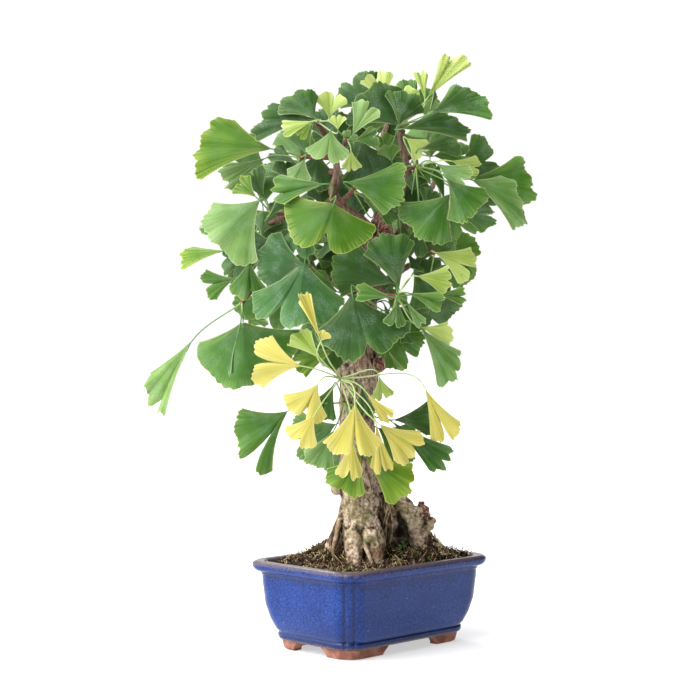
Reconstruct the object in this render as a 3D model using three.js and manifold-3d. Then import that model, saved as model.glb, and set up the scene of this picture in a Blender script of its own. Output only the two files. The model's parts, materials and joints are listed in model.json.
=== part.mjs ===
// A potted ginkgo bonsai: a glazed stoneware pot on four unglazed feet, two drainage screens, soil, one
// woody piece (roots, trunk, branches and spurs) and a solid for the leaves of each spur or pair of spurs.
// Units are millimetres, +Z is up, the pot's long sides run along X, and the origin is on the table, under
// the middle of the whole plant.
import * as THREE from "three";
import { mergeVertices } from "three/addons/utils/BufferGeometryUtils.js";
import Module from "manifold-3d";

const wasm = await Module();
wasm.setup();

// ---- driving dimensions ---------------------------------------------------------------------------
const GAP = 0.3; // clearance between pieces that touch
const POT = { length: 183, width: 131, height: 75, corner: 22, footHeight: 8, floor: 6 };
const DRAIN = { radius: 7, x: 32, screen: 24, bar: 1.8, cells: 3, thick: 1 };
const SOIL = { edge: 71, mound: 16, back: 22, wide: 75, deep: 38, rough: 1.6 };
const TREE_TURN = THREE.MathUtils.degToRad(-45); // the tree's best side looks over a corner of the pot
const BLADE = 0.7; // leaf blade thickness
const PETIOLE = 0.85; // leaf stalk radius

// The tree is laid out on its front elevation, drawn in perspective from this viewing point. A place is
// [u, v, y]: u to the right and v down on the elevation, and y the distance in mm behind the pot's middle.
const VIEW = { centre: 350, focal: 1571, distance: 1360, x: -18, z: 254 };

// The front of the crown is rounded: away from its middle line it falls back by CROWN.fall mm at the side,
// and the leaves there turn outwards by CROWN.turn degrees. Every leaf's face looks up by CROWN.up degrees,
// and by CROWN.upMore more for each CROWN.high that it stands above CROWN.level on the elevation.
const CROWN = { middle: 365, side: 170, fall: 64, turn: 22, up: 5, upMore: 9, level: 300, high: 180 };

const COLOUR = {
  glaze: "#2b3f8c",
  screen: "#20221f",
  soil: "#2a1f19",
  bark: "#8a7460",
  deep: "#2f5a30",
  mid: "#4c7d3a",
  light: "#84ad6c",
  vivid: "#4f8f1f",
  lime: "#a9c455",
  glaucous: "#6f9c82",
  yellow: "#ecdc78",
};

// ---- small helpers --------------------------------------------------------------------------------
function turned(x, y, z) {
  return new THREE.Vector3(x, y, z).applyAxisAngle(new THREE.Vector3(0, 0, 1), TREE_TURN);
}

function at([u, v, depth]) {
  const y = depth + CROWN.fall * fromMiddle(u) ** 2;
  const scale = (VIEW.distance + y) / VIEW.focal;
  return turned(VIEW.x + (u - VIEW.centre) * scale, y, VIEW.z - (v - VIEW.centre) * scale);
}

// How far to the side of the crown's middle line a place is, from -1 to 1.
function fromMiddle(u) {
  return (u - CROWN.middle) / CROWN.side;
}

// A pseudo-random number from 0 to 1 that depends only on n.
function chance(n) {
  const s = Math.sin(n * 127.1 + 11.7) * 43758.5453;
  return s - Math.floor(s);
}

function geometryOf(points, faces) {
  return new THREE.BufferGeometry()
    .setAttribute("position", new THREE.Float32BufferAttribute(points.flatMap((p) => [p.x, p.y, p.z]), 3))
    .setIndex(faces.flat());
}

function solidOf(geometry) {
  const bare = new THREE.BufferGeometry().setAttribute("position", geometry.getAttribute("position").clone());
  if (geometry.index) bare.setIndex(geometry.index);
  const merged = mergeVertices(bare, 1e-4);
  return new wasm.Manifold(
    new wasm.Mesh({
      numProp: 3,
      vertProperties: merged.attributes.position.array,
      triVerts: new Uint32Array(merged.index.array),
    }),
  );
}

function largestBody(solid) {
  return solid.decompose().sort((a, b) => b.volume() - a.volume())[0];
}

function meshOf(name, solid, colour, roughness = 0.6) {
  const m = solid.getMesh();
  const geometry = new THREE.BufferGeometry()
    .setAttribute("position", new THREE.BufferAttribute(new Float32Array(m.vertProperties), 3))
    .setIndex(new THREE.BufferAttribute(new Uint32Array(m.triVerts), 1));
  geometry.computeVertexNormals();
  const material = new THREE.MeshStandardMaterial({ color: colour, roughness, metalness: 0 });
  const mesh = new THREE.Mesh(geometry, material);
  mesh.name = name;
  return mesh;
}

// A round tube along a curve, with a radius for each of its evenly spaced rings.
function tube(curve, radii, sides, first, shape = () => 1) {
  let side = first.clone();
  const rings = radii.map((radius, i) => {
    const t = i / (radii.length - 1);
    const tangent = curve.getTangent(t);
    side = side.clone().addScaledVector(tangent, -side.dot(tangent)).normalize();
    const other = new THREE.Vector3().crossVectors(tangent, side);
    const middle = curve.getPoint(t);
    return Array.from({ length: sides }, (_, k) => {
      const a = (2 * Math.PI * k) / sides;
      const r = radius * shape(a, i);
      return middle
        .clone()
        .addScaledVector(side, Math.cos(a) * r)
        .addScaledVector(other, Math.sin(a) * r);
    });
  });
  return loft(rings);
}

// Closes a stack of rings that all have the same number of points into one skin with flat ends.
function loft(rings) {
  const n = rings[0].length;
  const top = (rings.length - 1) * n;
  const faces = [];
  for (let i = 0; i < n; i++) {
    const j = (i + 1) % n;
    for (let r = 0; r < top; r += n) faces.push([r + i, r + j, r + n + j], [r + i, r + n + j, r + n + i]);
  }
  const points = rings.flat();
  for (const [start, flip] of [[0, true], [top, false]]) {
    const hub = n > 4 ? points.push(middleOf(points.slice(start, start + n))) - 1 : start;
    for (let i = 0; i < n; i++) {
      const [a, b] = [start + i, start + ((i + 1) % n)];
      if (a !== hub && b !== hub) faces.push(flip ? [hub, b, a] : [hub, a, b]);
    }
  }
  return geometryOf(points, faces);
}

function middleOf(ring) {
  return ring.reduce((sum, p) => sum.add(p), new THREE.Vector3()).divideScalar(ring.length);
}

// ---- the pot --------------------------------------------------------------------------------------
// One quarter of the plan: a round corner whose middle is an inset rib between two upright grooves.
// Each pair is the angle round the corner in degrees and how far the wall is set back there.
const CORNER = [
  [0, 0], [25, 0], [33, 1.3], [40, 0.4], [50, 0.4], [57, 1.3], [65, 0], [90, 0],
];

function planRing(z, inset, corner, grooved, corners = CORNER) {
  const ring = [];
  for (let quarter = 0; quarter < 4; quarter++) {
    const [sx, sy] = [[1, 1], [-1, 1], [-1, -1], [1, -1]][quarter];
    const turns = quarter % 2 ? [...corners].reverse() : corners;
    for (const [degrees, back] of turns) {
      const a = THREE.MathUtils.degToRad(degrees);
      const r = corner - back * grooved;
      const x = POT.length / 2 - inset - corner + r * Math.cos(a);
      const y = POT.width / 2 - inset - corner + r * Math.sin(a);
      ring.push(new THREE.Vector3(sx * x, sy * y, z));
    }
  }
  return ring;
}

function potSolid() {
  const { height, corner, footHeight, floor } = POT;
  // height, inset from the rim's outline, corner radius, and how deep the corner grooves are cut
  const levels = [
    [footHeight, 18.9, 18, 0.6],
    [footHeight + 1.6, 16.9, 19, 0.7],
    [footHeight + 5, 16.6, 19, 0.7],
    [footHeight + 6.4, 17.5, 19, 0.9],
    [footHeight + 9.5, 15.2, 19, 1],
    [26, 11.6, 20, 1],
    [38, 8.7, 20, 1],
    [57, 7, 20, 1],
    [65.5, 6.5, 20, 0.9],
    [66.6, 4.8, 20, 0.8],
    [68.8, 1.4, corner, 0.7],
    [72.4, 0, corner, 0.6],
    [height, 2, corner, 0.5],
    [height, 9, 16, 0],
    [height - 1.6, 11.6, 15, 0],
    [50, 13.4, 14, 0],
    [26, 17.4, 13, 0],
    [footHeight + floor, 23.4, 12, 0],
  ];
  const body = solidOf(loft(levels.map(([z, inset, r, grooved]) => planRing(z, inset, r, grooved))));
  return body.add(feet()).subtract(drain(DRAIN.x)).subtract(drain(-DRAIN.x));
}

// A foot ring under the body's edge, opened near the middle of each side by a notch with sloping ends. The
// notches are a little off the middle, so that the feet at two of the corners are shorter.
function feet() {
  const { footHeight } = POT;
  const outer = solidOf(loft([planRing(0, 21.2, 15, 0.4), planRing(footHeight + 1, 19.6, 17, 0.5)]));
  const inner = solidOf(loft([planRing(-1, 31.2, 8, 0), planRing(footHeight, 30.2, 8, 0)]));
  const longGap = notch(POT.width, 28, 35);
  longGap.translate(4, 0, 0);
  const shortGap = notch(POT.length, 14, 20);
  shortGap.translate(3, 0, 0);
  shortGap.rotateZ(Math.PI / 2);
  return outer.subtract(inner).subtract(solidOf(longGap)).subtract(solidOf(shortGap));
}

function notch(across, topHalf, bottomHalf) {
  const low = -1;
  const shape = new THREE.Shape([
    new THREE.Vector2(-bottomHalf, low),
    new THREE.Vector2(bottomHalf, low),
    new THREE.Vector2(bottomHalf - 2, POT.footHeight * 0.4),
    new THREE.Vector2(topHalf, POT.footHeight),
    new THREE.Vector2(-topHalf, POT.footHeight),
    new THREE.Vector2(2 - bottomHalf, POT.footHeight * 0.4),
  ]);
  const prism = new THREE.ExtrudeGeometry(shape, { depth: across, bevelEnabled: false });
  prism.rotateX(Math.PI / 2);
  prism.translate(0, across / 2, 0);
  return prism;
}

function drain(x) {
  const hole = new THREE.CylinderGeometry(DRAIN.radius, DRAIN.radius, POT.footHeight + 3 * POT.floor, 16);
  hole.rotateX(Math.PI / 2);
  hole.translate(x, 0, POT.footHeight + POT.floor / 2);
  return solidOf(hole);
}

// A square of plastic net that keeps the soil out of a drainage hole.
function screenSolid(x) {
  const { screen, bar, cells, thick } = DRAIN;
  const z = POT.footHeight + POT.floor + GAP + thick / 2;
  const block = (side, deep, dx, dy) => {
    const box = new THREE.BoxGeometry(side, side, deep);
    box.translate(x + dx, dy, z);
    return solidOf(box);
  };
  const pitch = (screen - bar) / cells;
  let net = block(screen, thick, 0, 0);
  for (let i = 0; i < cells; i++)
    for (let j = 0; j < cells; j++) {
      const [dx, dy] = [i, j].map((k) => (k - (cells - 1) / 2) * pitch);
      net = net.subtract(block(pitch - bar, thick * 3, dx, dy));
    }
  return net;
}

// ---- the soil -------------------------------------------------------------------------------------
// It fills the pot to just under the rim and is heaped up behind the roots, which stand in a plain hole.
// The heap is SOIL.back mm behind the pot's middle on the tree's front elevation.
function heapAt(x, y) {
  const { mound, back, wide, deep } = SOIL;
  const across = x * Math.cos(TREE_TURN) + y * Math.sin(TREE_TURN);
  const behind = y * Math.cos(TREE_TURN) - x * Math.sin(TREE_TURN) - back;
  return mound * Math.exp(-((across / wide) ** 2) - (behind / deep) ** 2) - mound * 0.1;
}

function soilSolid(roots) {
  const { edge, rough } = SOIL;
  const shrink = [1, 0.84, 0.64, 0.42, 0.2];
  const plain = [[0, 0], [30, 0], [60, 0], [90, 0]];
  const rim = planRing(edge, 12 + GAP, 14, 0, plain);
  const rings = [
    planRing(POT.footHeight + POT.floor + 2 * GAP + DRAIN.thick, 23.6 + GAP, 12, 0, plain),
    planRing(26, 17.6 + GAP, 13, 0, plain),
    planRing(50, 13.6 + GAP, 14, 0, plain),
  ];
  shrink.forEach((k, step) => {
    rings.push(
      rim.map((p, i) => {
        const spot = new THREE.Vector3(p.x * k, p.y * k, 0);
        const lump = step ? rough * (chance(i * 7 + step * 131) - 0.5) * 2 : 0;
        spot.z = edge + Math.max(0, heapAt(spot.x, spot.y)) + lump;
        return spot;
      }),
    );
  });
  return largestBody(solidOf(loft(rings)).subtract(roots));
}

// ---- the wood -------------------------------------------------------------------------------------
// Each limb is a list of [u, v, y, radius]. The first point of a branch lies inside the limb that bears it.
const TRUNK = [
  [364, 580, -4, 14], [362, 540, -5, 15.2], [359, 500, -6, 15.8], [357, 460, -4, 15], [357, 430, -2, 14.6],
  [358, 402, 0, 15.4],
  [360, 376, 2, 16.8], [361, 352, 3, 14], [363, 306, 3, 12], [368, 264, 0, 10.8], [374, 244, -2, 10.6],
  [381, 227, -3, 9.6], [384, 214, -2, 7],
];
const LIMBS = {
  rightLeader: [
    [382, 226, -3, 6.5], [392, 207, -6, 5.2], [401, 189, -8, 4.4], [406, 171, -8, 3.8], [403, 151, -6, 3.1],
    [400, 134, -2, 2.6], [403, 121, 2, 2],
  ],
  middleLeader: [
    [381, 220, 0, 6], [379, 192, 8, 4.6], [378, 166, 14, 3.8], [381, 146, 18, 3.1], [386, 128, 22, 2.4],
    [391, 119, 26, 1.9],
  ],
  leftLeader: [
    [378, 236, -3, 6.5], [358, 219, -15, 5], [340, 205, -25, 4.6], [333, 192, -28, 4.2], [337, 174, -26, 3.4],
    [335, 158, -22, 2.9], [329, 141, -20, 2.4], [320, 125, -22, 1.9],
  ],
  leftLow: [
    [365, 290, 2, 6], [348, 287, -4, 4.8], [332, 280, -8, 4.2], [306, 273, -10, 3.6], [282, 268, -12, 3],
    [264, 273, -14, 2.5], [253, 288, -15, 2], [248, 296, -16, 1.7],
  ],
  rightLow: [[366, 284, 0, 5], [378, 290, -18, 4], [387, 295, -32, 3.2], [391, 297, -42, 2.6]],
  backRight: [
    [372, 254, 4, 6], [390, 240, 30, 4.6], [410, 222, 50, 3.6], [426, 200, 60, 2.6], [434, 182, 62, 2],
  ],
  backLeft: [
    [368, 264, 6, 6], [345, 247, 34, 4.6], [322, 228, 54, 3.6], [302, 206, 62, 2.6], [292, 186, 62, 2],
  ],
  leftMid: [[344, 208, -24, 4.2], [320, 212, -30, 3.4], [292, 214, -32, 2.8], [280, 213, -34, 2.2]],
  rightMid: [[378, 240, -4, 5], [398, 249, -18, 3.8], [420, 249, -27, 2.8], [426, 250, -30, 2.2]],
  backLeftLow: [
    [364, 300, 4, 5], [340, 286, 30, 3.8], [314, 270, 46, 3], [288, 262, 51, 2.4], [283, 260, 52, 2],
  ],
  backRightLow: [[366, 292, 4, 5], [390, 278, 28, 3.8], [408, 266, 44, 3], [420, 262, 52, 2.2]],
  backMiddle: [[364, 332, 6, 4.6], [365, 326, 26, 3.6], [366, 320, 46, 2.4]],
};
// Roots and the old second stem: they spread from the foot of the trunk into the soil.
const ROOTS = {
  frontLeft: [[353, 530, -15, 6], [355, 544, -23, 7], [355, 562, -26, 7.2], [354, 582, -26, 6.2]],
  frontRight: [[368, 520, -12, 9], [373, 538, -19, 9.2], [374, 560, -21, 9.2], [374, 580, -21, 8]],
  stick: [[364, 537, -20, 3], [366, 548, -30, 2], [372, 562, -33, 1.8], [377, 578, -33, 1.7]],
  left: [[345, 502, -4, 4], [340, 516, -7, 2.2], [336, 536, -9, 2], [333, 550, -9, 2], [331, 576, -9, 2]],
  leftThin: [[346, 510, 0, 5], [336, 530, 2, 3.2], [329, 548, 1, 3.6], [326, 574, 0, 3.4]],
  leftBack: [[352, 512, 8, 8], [345, 532, 15, 7.4], [341, 554, 18, 8], [338, 576, 18, 8]],
  back: [[364, 510, 6, 9], [368, 536, 18, 10], [372, 560, 26, 9], [374, 580, 30, 7]],
  stem: [
    [366, 462, 8, 9], [384, 480, 12, 7.8], [400, 500, 14, 6.8], [409, 513, 12, 8.4], [416, 527, 10, 9.6],
    [420, 541, 8, 8.4], [422, 553, 6, 7.4], [423, 578, 4, 6.6],
  ],
  inner: [[382, 498, 12, 6], [390, 517, 13, 6.6], [391, 536, 14, 6.6], [390, 576, 18, 6.4]],
  outer: [[414, 517, 14, 6], [424, 532, 14, 6], [427, 549, 12, 5.8], [428, 576, 10, 5]],
};
// Cut stubs, burrs and knobs: [u, v, y, radius].
const KNOBS = [
  [386, 230, -9, 6.4], [379, 364, -2, 6.6], [344, 372, -6, 6], [336, 489, -6, 5], [354, 543, -24, 7.2],
  [371, 536, -22, 8], [419, 510, 7, 4.8], [421, 505, 5, 3.2], [427, 509, 3, 3], [426, 515, 4, 4],
  [432, 520, 5, 3.2], [429, 525, 4, 4.6],
];

function limb(stations, sides, extra) {
  const curve = new THREE.CatmullRomCurve3(stations.map((s) => at(s)));
  const radii = stations.map((s) => s[3] + extra);
  const lumps = (a, i) => 1 + 0.07 * Math.sin(3 * a + i * 1.3) + 0.05 * Math.sin(2 * a - i * 0.9);
  return solidOf(tube(curve, radii, sides, new THREE.Vector3(1, 0, 0), lumps));
}

function woodSolid(extra) {
  const knobs = KNOBS.map(([u, v, y, r]) => {
    const knob = new THREE.IcosahedronGeometry(1.1 * (r + extra), 0);
    const place = at([u, v, y]);
    knob.translate(place.x, place.y, place.z);
    return solidOf(knob);
  });
  const limbs = Object.values(LIMBS).map((stations) => limb(stations, 5, extra));
  const roots = Object.values(ROOTS).map((stations) => limb(stations, 7, extra));
  const spurs = SPRAYS.map(([, , from, spur]) => spurSolid(from, spur, extra));
  return wasm.Manifold.union([limb(TRUNK, 9, extra), ...limbs, ...roots, ...knobs, ...spurs]);
}

// A short woody shoot from a limb out to the point that the leaf stalks spring from.
function spurSolid(from, spur, extra) {
  const line = new THREE.LineCurve3(at(from), at(spur));
  return solidOf(tube(line, [2.3 + extra, 1.7 + extra], 3, new THREE.Vector3(0.3, 1, 0.2)));
}

// ---- the leaves -----------------------------------------------------------------------------------
// A spray is [name, colour, place on the limb, tip of the spur, leaves]. A leaf is
// [u, v, y, length, axis, spread, tilt, roll, cup, split, depth, tone, lean]: the place where the blade
// leaves its stalk, its length in mm, the way it points on the elevation, anticlockwise from the right, the
// whole angle it opens to, the axis's tilt towards the viewer, the blade's turn about its axis, the fold
// of its halves towards the viewer, where the notch in its margin is, from -1 to 1, and how deep, its tone,
// and how much longer the blade is on its anticlockwise side than on its middle line.
const SPRAYS = [
  ["left_crown", "vivid", [335, 158, -22], [304, 157, -25], [
    [272, 149, -44, 64, 172, 64, 10, 0, -10, 0.55, 0.12, "vivid", 0.17],
    [266, 158, -28, 43, 205, 40, 0, 0, 0, 0.3, 0.15, "light"],
    [305, 159, -44, 20, 248, 84, 0, 0, 0, 0, 0.2, "light"],
    [296, 163, -12, 26, 150, 56, 0, 20, 0, 0, 0.2, "deep"],
    [318, 152, -10, 34, 262, 100, 0, 0, 0, 0, 0.2, "deep"],
  ]],
  ["left_top", "deep", [329, 141, -20], [318, 124, -26], [
    [315, 120, -46, 47, 174, 54, 5, 0, -12, 0.1, 0.05, "deep", 0.22],
    [316, 119, -52, 32, 128, 88, 5, 10, -12, 0.1, 0.05, "deep", 0.12],
    [313, 121, -66, 27, 194, 38, 0, 0, 0, 0.2, 0.3, "lime"],
    [313, 122, -58, 17, 226, 44, 0, 0, 0, 0, 0.3, "vivid"],
    [329, 118, -32, 23, 84, 96, 10, 0, 15, -0.2, 0.35, "lime"],
    [338, 130, -40, 14, 96, 84, 0, 0, 0, 0, 0.2, "lime"],
  ]],
  ["middle_top", "light", [335, 158, -22], [346, 142, -30], [
    [331, 131, -56, 27, 262, 104, 5, 0, -10, 0, 0.3, "light"],
    [352, 136, -50, 32, 62, 58, 10, 0, 10, -0.1, 0.35, "light"],
    [353, 141, -26, 22, 14, 62, 0, 0, 0, 0, 0.2, "mid"],
    [351, 150, -38, 18, 272, 66, 0, 0, 0, 0, 0.2, "lime"],
    [362, 142, -8, 42, 290, 100, 0, 0, 0, 0, 0.2, "deep"],
  ]],
  ["top", "deep", [403, 132, -2], [400, 128, -6], [
    [398, 126, -24, 42, 126, 108, 8, 0, -10, 0.05, 0.06, "deep", 0.1],
    [398, 126, -34, 32, 70, 84, 8, 10, -10, 0, 0.05, "deep"],
    [402, 129, -44, 50, 12, 42, 0, 12, 0, -0.3, 0.05, "deep", -0.3],
    [385, 104, 14, 31, 106, 68, 5, 0, 10, 0, 0.4, "lime"],
    [403, 108, 6, 22, 84, 96, 0, 0, 10, 0.1, 0.4, "lime"],
    [425, 100, -12, 28, 95, 30, 0, 0, 0, 0, 0.1, "lime"],
    [427, 99, -18, 53, 55, 32, 0, 10, 5, 0.2, 0.15, "lime", -0.16],
    [429, 112, -26, 22, 66, 60, 0, 76, 0, 0, 0.1, "glaucous"],
    [431, 113, -58, 44, 22, 62, 10, 10, 10, 0.2, 0.05, "deep", -0.3],
  ]],
  ["right_crown", "mid", [406, 171, -8], [414, 167, -16], [
    [420, 149, -34, 37, 14, 46, 0, 10, 0, 0, 0.2, "deep"],
    [406, 138, -28, 21, -38, 76, 0, 0, 0, 0, 0.2, "lime"],
    [437, 164, -60, 30, -33, 66, 5, 10, 0, 0, 0.2, "light"],
    [451, 161, -44, 26, -12, 55, 0, 0, 0, 0, 0.2, "lime"],
    [474, 177, -52, 55, -5, 66, 0, 0, 0, -0.7, 0.12, "mid", -0.08],
    [472, 180, -66, 48, -19, 64, 0, 0, 0, 0.1, 0.06, "light", -0.34],
    [450, 194, -54, 47, 231, 88, 8, 0, -12, -0.2, 0.06, "mid", -0.05],
    [447, 179, -66, 38, -50, 84, 5, 0, -10, 0.1, 0.08, "mid"],
    [418, 222, -32, 30, -98, 60, 0, 0, 0, 0, 0.2, "deep"],
    [410, 168, 16, 38, 262, 90, 0, 0, 0, 0, 0.2, "deep"],
  ]],
  ["centre", "vivid", [333, 192, -28], [331, 199, -40], [
    [334, 203, -78, 43, 249, 176, 6, 0, -12, 0.08, 0.45, "vivid", -0.04],
    [326, 184, -72, 45, 184, 44, 0, 10, 0, 0.2, 0.2, "mid"],
  ]],
  ["centre_right", "mid", [340, 205, -25], [351, 192, -40], [
    [346, 182, -58, 49, -8, 66, 0, 0, -10, 0.1, 0.05, "mid", 0.08],
    [366, 198, -42, 32, -26, 56, 0, 0, 0, 0, 0.2, "deep"],
  ]],
  ["left_shoulder", "light", [292, 214, -32], [274, 213, -38], [
    [260, 200, -68, 54, 223, 92, 5, 0, -8, 0.1, 0.05, "light", 0.05],
    [264, 199, -16, 31, 118, 60, 0, 0, 0, 0, 0.2, "deep"],
    [256, 197, -54, 23, 140, 66, 0, 0, 10, 0, 0.3, "vivid"],
    [266, 220, -52, 26, 46, 44, 0, 68, 0, 0, 0.1, "glaucous"],
    [302, 212, -46, 38, 262, 58, 0, 0, 0, 0, 0.15, "glaucous"],
  ]],
  ["left_side", "light", [264, 273, -14], [256, 258, -22], [
    [224, 251, -42, 42, 184, 44, 0, 30, 0, 0.1, 0.05, "vivid"],
    [236, 278, -28, 32, 194, 62, 0, -20, 0, 0, 0.3, "mid"],
    [250, 260, -36, 34, 264, 78, 0, 0, -8, 0.2, 0.3, "mid"],
    [284, 246, -26, 40, 182, 66, 0, 0, 0, 0, 0.2, "deep"],
  ]],
  ["left_hanging", "mid", [252, 290, -15], [244, 300, -18], [
    [243, 322, -50, 55, 276, 160, 8, 0, -12, 0.25, 0.12, "mid", -0.04],
    [237, 337, -72, 32, 255, 32, 0, 78, 0, 0, 0.1, "glaucous"],
    [192, 341, -30, 70, 231, 42, 0, 10, 8, 0.3, 0.15, "glaucous", 0.12],
    [250, 320, -30, 16, 0, 60, 0, 20, 0, 0, 0.2, "light"],
  ]],
  ["centre_left", "glaucous", [306, 273, -10], [310, 266, -26], [
    [305, 261, -66, 56, 263, 112, 5, 0, -12, -0.4, 0.3, "glaucous", -0.12],
    [304, 264, -56, 40, 173, 96, 5, 0, -10, 0, 0.06, "glaucous"],
    [338, 292, -24, 26, 160, 80, 0, 0, 0, 0, 0.2, "mid"],
  ]],
  ["centre_low", "mid", [364, 297, -2], [364, 297, -24], [
    [352, 293, -74, 54, 280, 114, 5, 0, -12, 0.12, 0.22, "deep", 0.08],
    [350, 268, -22, 30, 120, 90, 0, 0, 0, 0, 0.2, "deep"],
    [335, 350, -24, 37, 198, 52, 0, 0, 0, 0, 0.2, "vivid"],
  ]],
  ["right_low", "mid", [390, 296, -40], [395, 296, -48], [
    [395, 284, -44, 55, 160, 66, 0, 0, -10, 0, 0.05, "deep", -0.08],
    [399, 289, -52, 48, 102, 66, 0, 0, -10, 0, 0.05, "deep"],
    [392, 297, -86, 29, 170, 38, 0, 0, -8, 0, 0.1, "mid"],
    [398, 300, -82, 22, 262, 60, 0, 0, -8, 0, 0.2, "mid"],
    [416, 276, -64, 30, -8, 54, 0, 10, 0, 0, 0.1, "lime"],
    [436, 294, -50, 26, -4, 40, 0, 0, 0, 0, 0.2, "mid"],
    [408, 293, -70, 30, -16, 40, 0, 0, 0, 0, 0.2, "mid"],
    [407, 302, -56, 23, -60, 36, 0, 40, 0, 0, 0.1, "light"],
    [421, 327, -44, 28, -16, 56, 5, 0, 0, 0, 0.05, "light", -0.1],
    [421, 328, -47, 49, -52, 46, 5, 0, 0, 0, 0.05, "light", -0.16],
    [388, 350, -40, 20, -62, 36, 0, 76, 0, 0, 0.1, "mid"],
    [420, 262, -20, 36, 60, 80, 0, 0, 0, 0, 0.2, "deep"],
  ]],
  ["right_side", "lime", [420, 248, -28], [432, 251, -34], [
    [434, 252, -50, 38, -20, 60, 0, 0, -10, -0.1, 0.4, "lime"],
  ]],
  ["yellow", "yellow", [354, 380, -4], [342, 378, -24], [
    [301, 366, -72, 41, 172, 78, 10, 0, -8, 0.02, 0.48, "yellow"],
    [321, 359, -60, 31, 132, 56, 0, -20, 20, 0, 0.1, "lime", 0.1],
    [321, 342, -90, 43, 110, 18, 4, 20, 10, 0, 0.1, "yellow"],
    [321, 341, -88, 9, 60, 90, 0, 0, 0, 0, 0.1, "yellow"],
    [318, 384, -64, 33, 240, 92, 0, 0, -10, 0.1, 0.42, "yellow"],
    [315, 414, -72, 29, 238, 72, 0, 0, 0, 0, 0.2, "yellow"],
    [355, 403, -88, 44, 268, 78, 5, 0, -10, 0.05, 0.5, "yellow"],
    [379, 424, -72, 39, -38, 60, 0, 0, -10, 0.2, 0.15, "yellow"],
    [376, 424, -64, 40, -82, 32, 0, 0, 0, 0, 0.2, "yellow"],
    [352, 436, -66, 35, 266, 44, 0, 0, 0, 0, 0.2, "yellow"],
    [367, 393, -60, 29, -52, 42, 0, 40, 0, 0, 0.2, "yellow"],
    [379, 376, -46, 20, 282, 66, 0, 0, 0, 0, 0.3, "lime"],
    [425, 388, -52, 48, -68, 42, 0, 30, -15, 0, 0.5, "yellow"],
  ]],
  ["lower", "mid", [352, 400, -4], [345, 402, -24], [
    [288, 411, -52, 53, 217, 80, 5, -15, 0, 0.45, 0.62, "mid", 0.22],
    [334, 430, -46, 35, 242, 58, 0, 0, 0, 0, 0.05, "light"],
    [362, 452, -52, 38, 240, 70, 0, 0, 0, 0, 0.1, "vivid"],
    [364, 456, -54, 47, -36, 58, 0, 0, -8, 0.2, 0.05, "vivid", -0.05],
    [391, 421, -36, 60, -38, 30, 0, 10, 10, 0, 0.1, "deep"],
    [393, 420, -26, 38, 2, 54, 0, 0, 0, 0.1, 0.15, "deep"],
    [334, 384, -32, 32, 245, 58, 0, 0, 0, 0, 0.2, "deep"],
    [362, 386, -32, 26, 275, 52, 0, 0, 0, 0, 0.2, "deep"],
  ]],
  ["back_top", "mid", [387, 126, 23], [391, 119, 28], [
    [372, 110, 40, 38, 130, 92, -20, 0, -15, 0, 0.2, "deep"],
    [408, 114, 52, 38, 62, 92, -35, 0, -15, 0.1, 0.3, "mid"],
    [398, 130, 62, 44, 270, 112, -40, 0, -15, 0, 0.3, "mid"],
    [352, 136, 50, 42, 170, 98, -25, 0, -15, 0, 0.2, "deep"],
  ]],
  ["back_left_high", "mid", [295, 192, 62], [291, 184, 64], [
    [268, 172, 72, 44, 160, 98, -20, 0, -15, 0.1, 0.3, "mid"],
    [300, 164, 86, 42, 80, 102, -35, 0, -15, 0, 0.2, "light"],
    [280, 210, 84, 44, 240, 112, -25, 0, -15, -0.1, 0.4, "deep"],
    [318, 196, 102, 44, 300, 102, -30, 0, -15, 0, 0.3, "mid"],
  ]],
  ["back_right_high", "deep", [432, 188, 62], [435, 180, 64], [
    [456, 170, 70, 42, 14, 98, -20, 0, -15, 0, 0.3, "deep"],
    [430, 158, 96, 44, 95, 102, -35, 0, -15, 0.1, 0.2, "mid"],
    [446, 206, 88, 44, -60, 112, -25, 0, -15, 0, 0.4, "mid"],
    [412, 196, 102, 44, 250, 102, -30, 0, -15, 0, 0.3, "light"],
    [466, 196, 44, 30, -30, 90, -10, 30, -15, 0, 0.2, "deep"],
  ]],
  ["back_left_low", "deep", [288, 262, 50], [280, 260, 54], [
    [266, 256, 60, 42, 190, 102, -15, 0, -15, 0, 0.3, "deep"],
    [276, 290, 74, 46, 255, 114, -25, 0, -15, 0.1, 0.3, "mid"],
    [304, 250, 66, 42, 70, 102, -30, 0, -15, 0, 0.2, "light"],
  ]],
  ["back_right_low", "mid", [416, 262, 50], [424, 262, 54], [
    [438, 258, 60, 40, -5, 102, -15, 0, -15, 0, 0.3, "mid"],
    [424, 290, 74, 44, -80, 114, -25, 0, -15, 0, 0.3, "deep"],
    [404, 252, 70, 42, 104, 102, -30, 0, -15, 0.1, 0.2, "mid"],
  ]],
  ["back_low", "deep", [366, 320, 44], [366, 318, 52], [
    [366, 330, 72, 44, 268, 122, -20, 0, -15, 0, 0.4, "mid"],
    [340, 312, 64, 42, 205, 102, -15, 0, -15, 0, 0.2, "deep"],
    [392, 312, 60, 38, -40, 102, -15, 0, -15, 0, 0.2, "deep"],
  ]],
  ["inner_left_high", "mid", [337, 174, -26], [322, 170, 4], [
    [312, 158, 22, 38, 128, 96, -10, -60, -12, 0, 0.3, "mid"],
    [336, 152, 2, 44, 90, 96, -6, 20, -12, 0, 0.2, "deep"],
    [342, 174, 10, 40, 268, 100, -6, 20, -12, 0, 0.2, "deep"],
    [296, 176, 2, 38, 172, 92, -6, 20, -12, 0, 0.3, "mid"],
    [316, 186, 24, 38, 235, 96, -10, 62, -12, 0.1, 0.3, "deep"],
  ]],
  ["inner_right_high", "deep", [405, 160, -7], [416, 154, 20], [
    [426, 142, 32, 38, 58, 96, -10, 60, -12, 0, 0.3, "light"],
    [400, 140, 20, 38, 122, 90, -6, 10, -12, 0, 0.2, "deep"],
    [434, 156, 8, 38, 10, 92, -6, -20, -12, 0, 0.3, "mid"],
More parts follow.
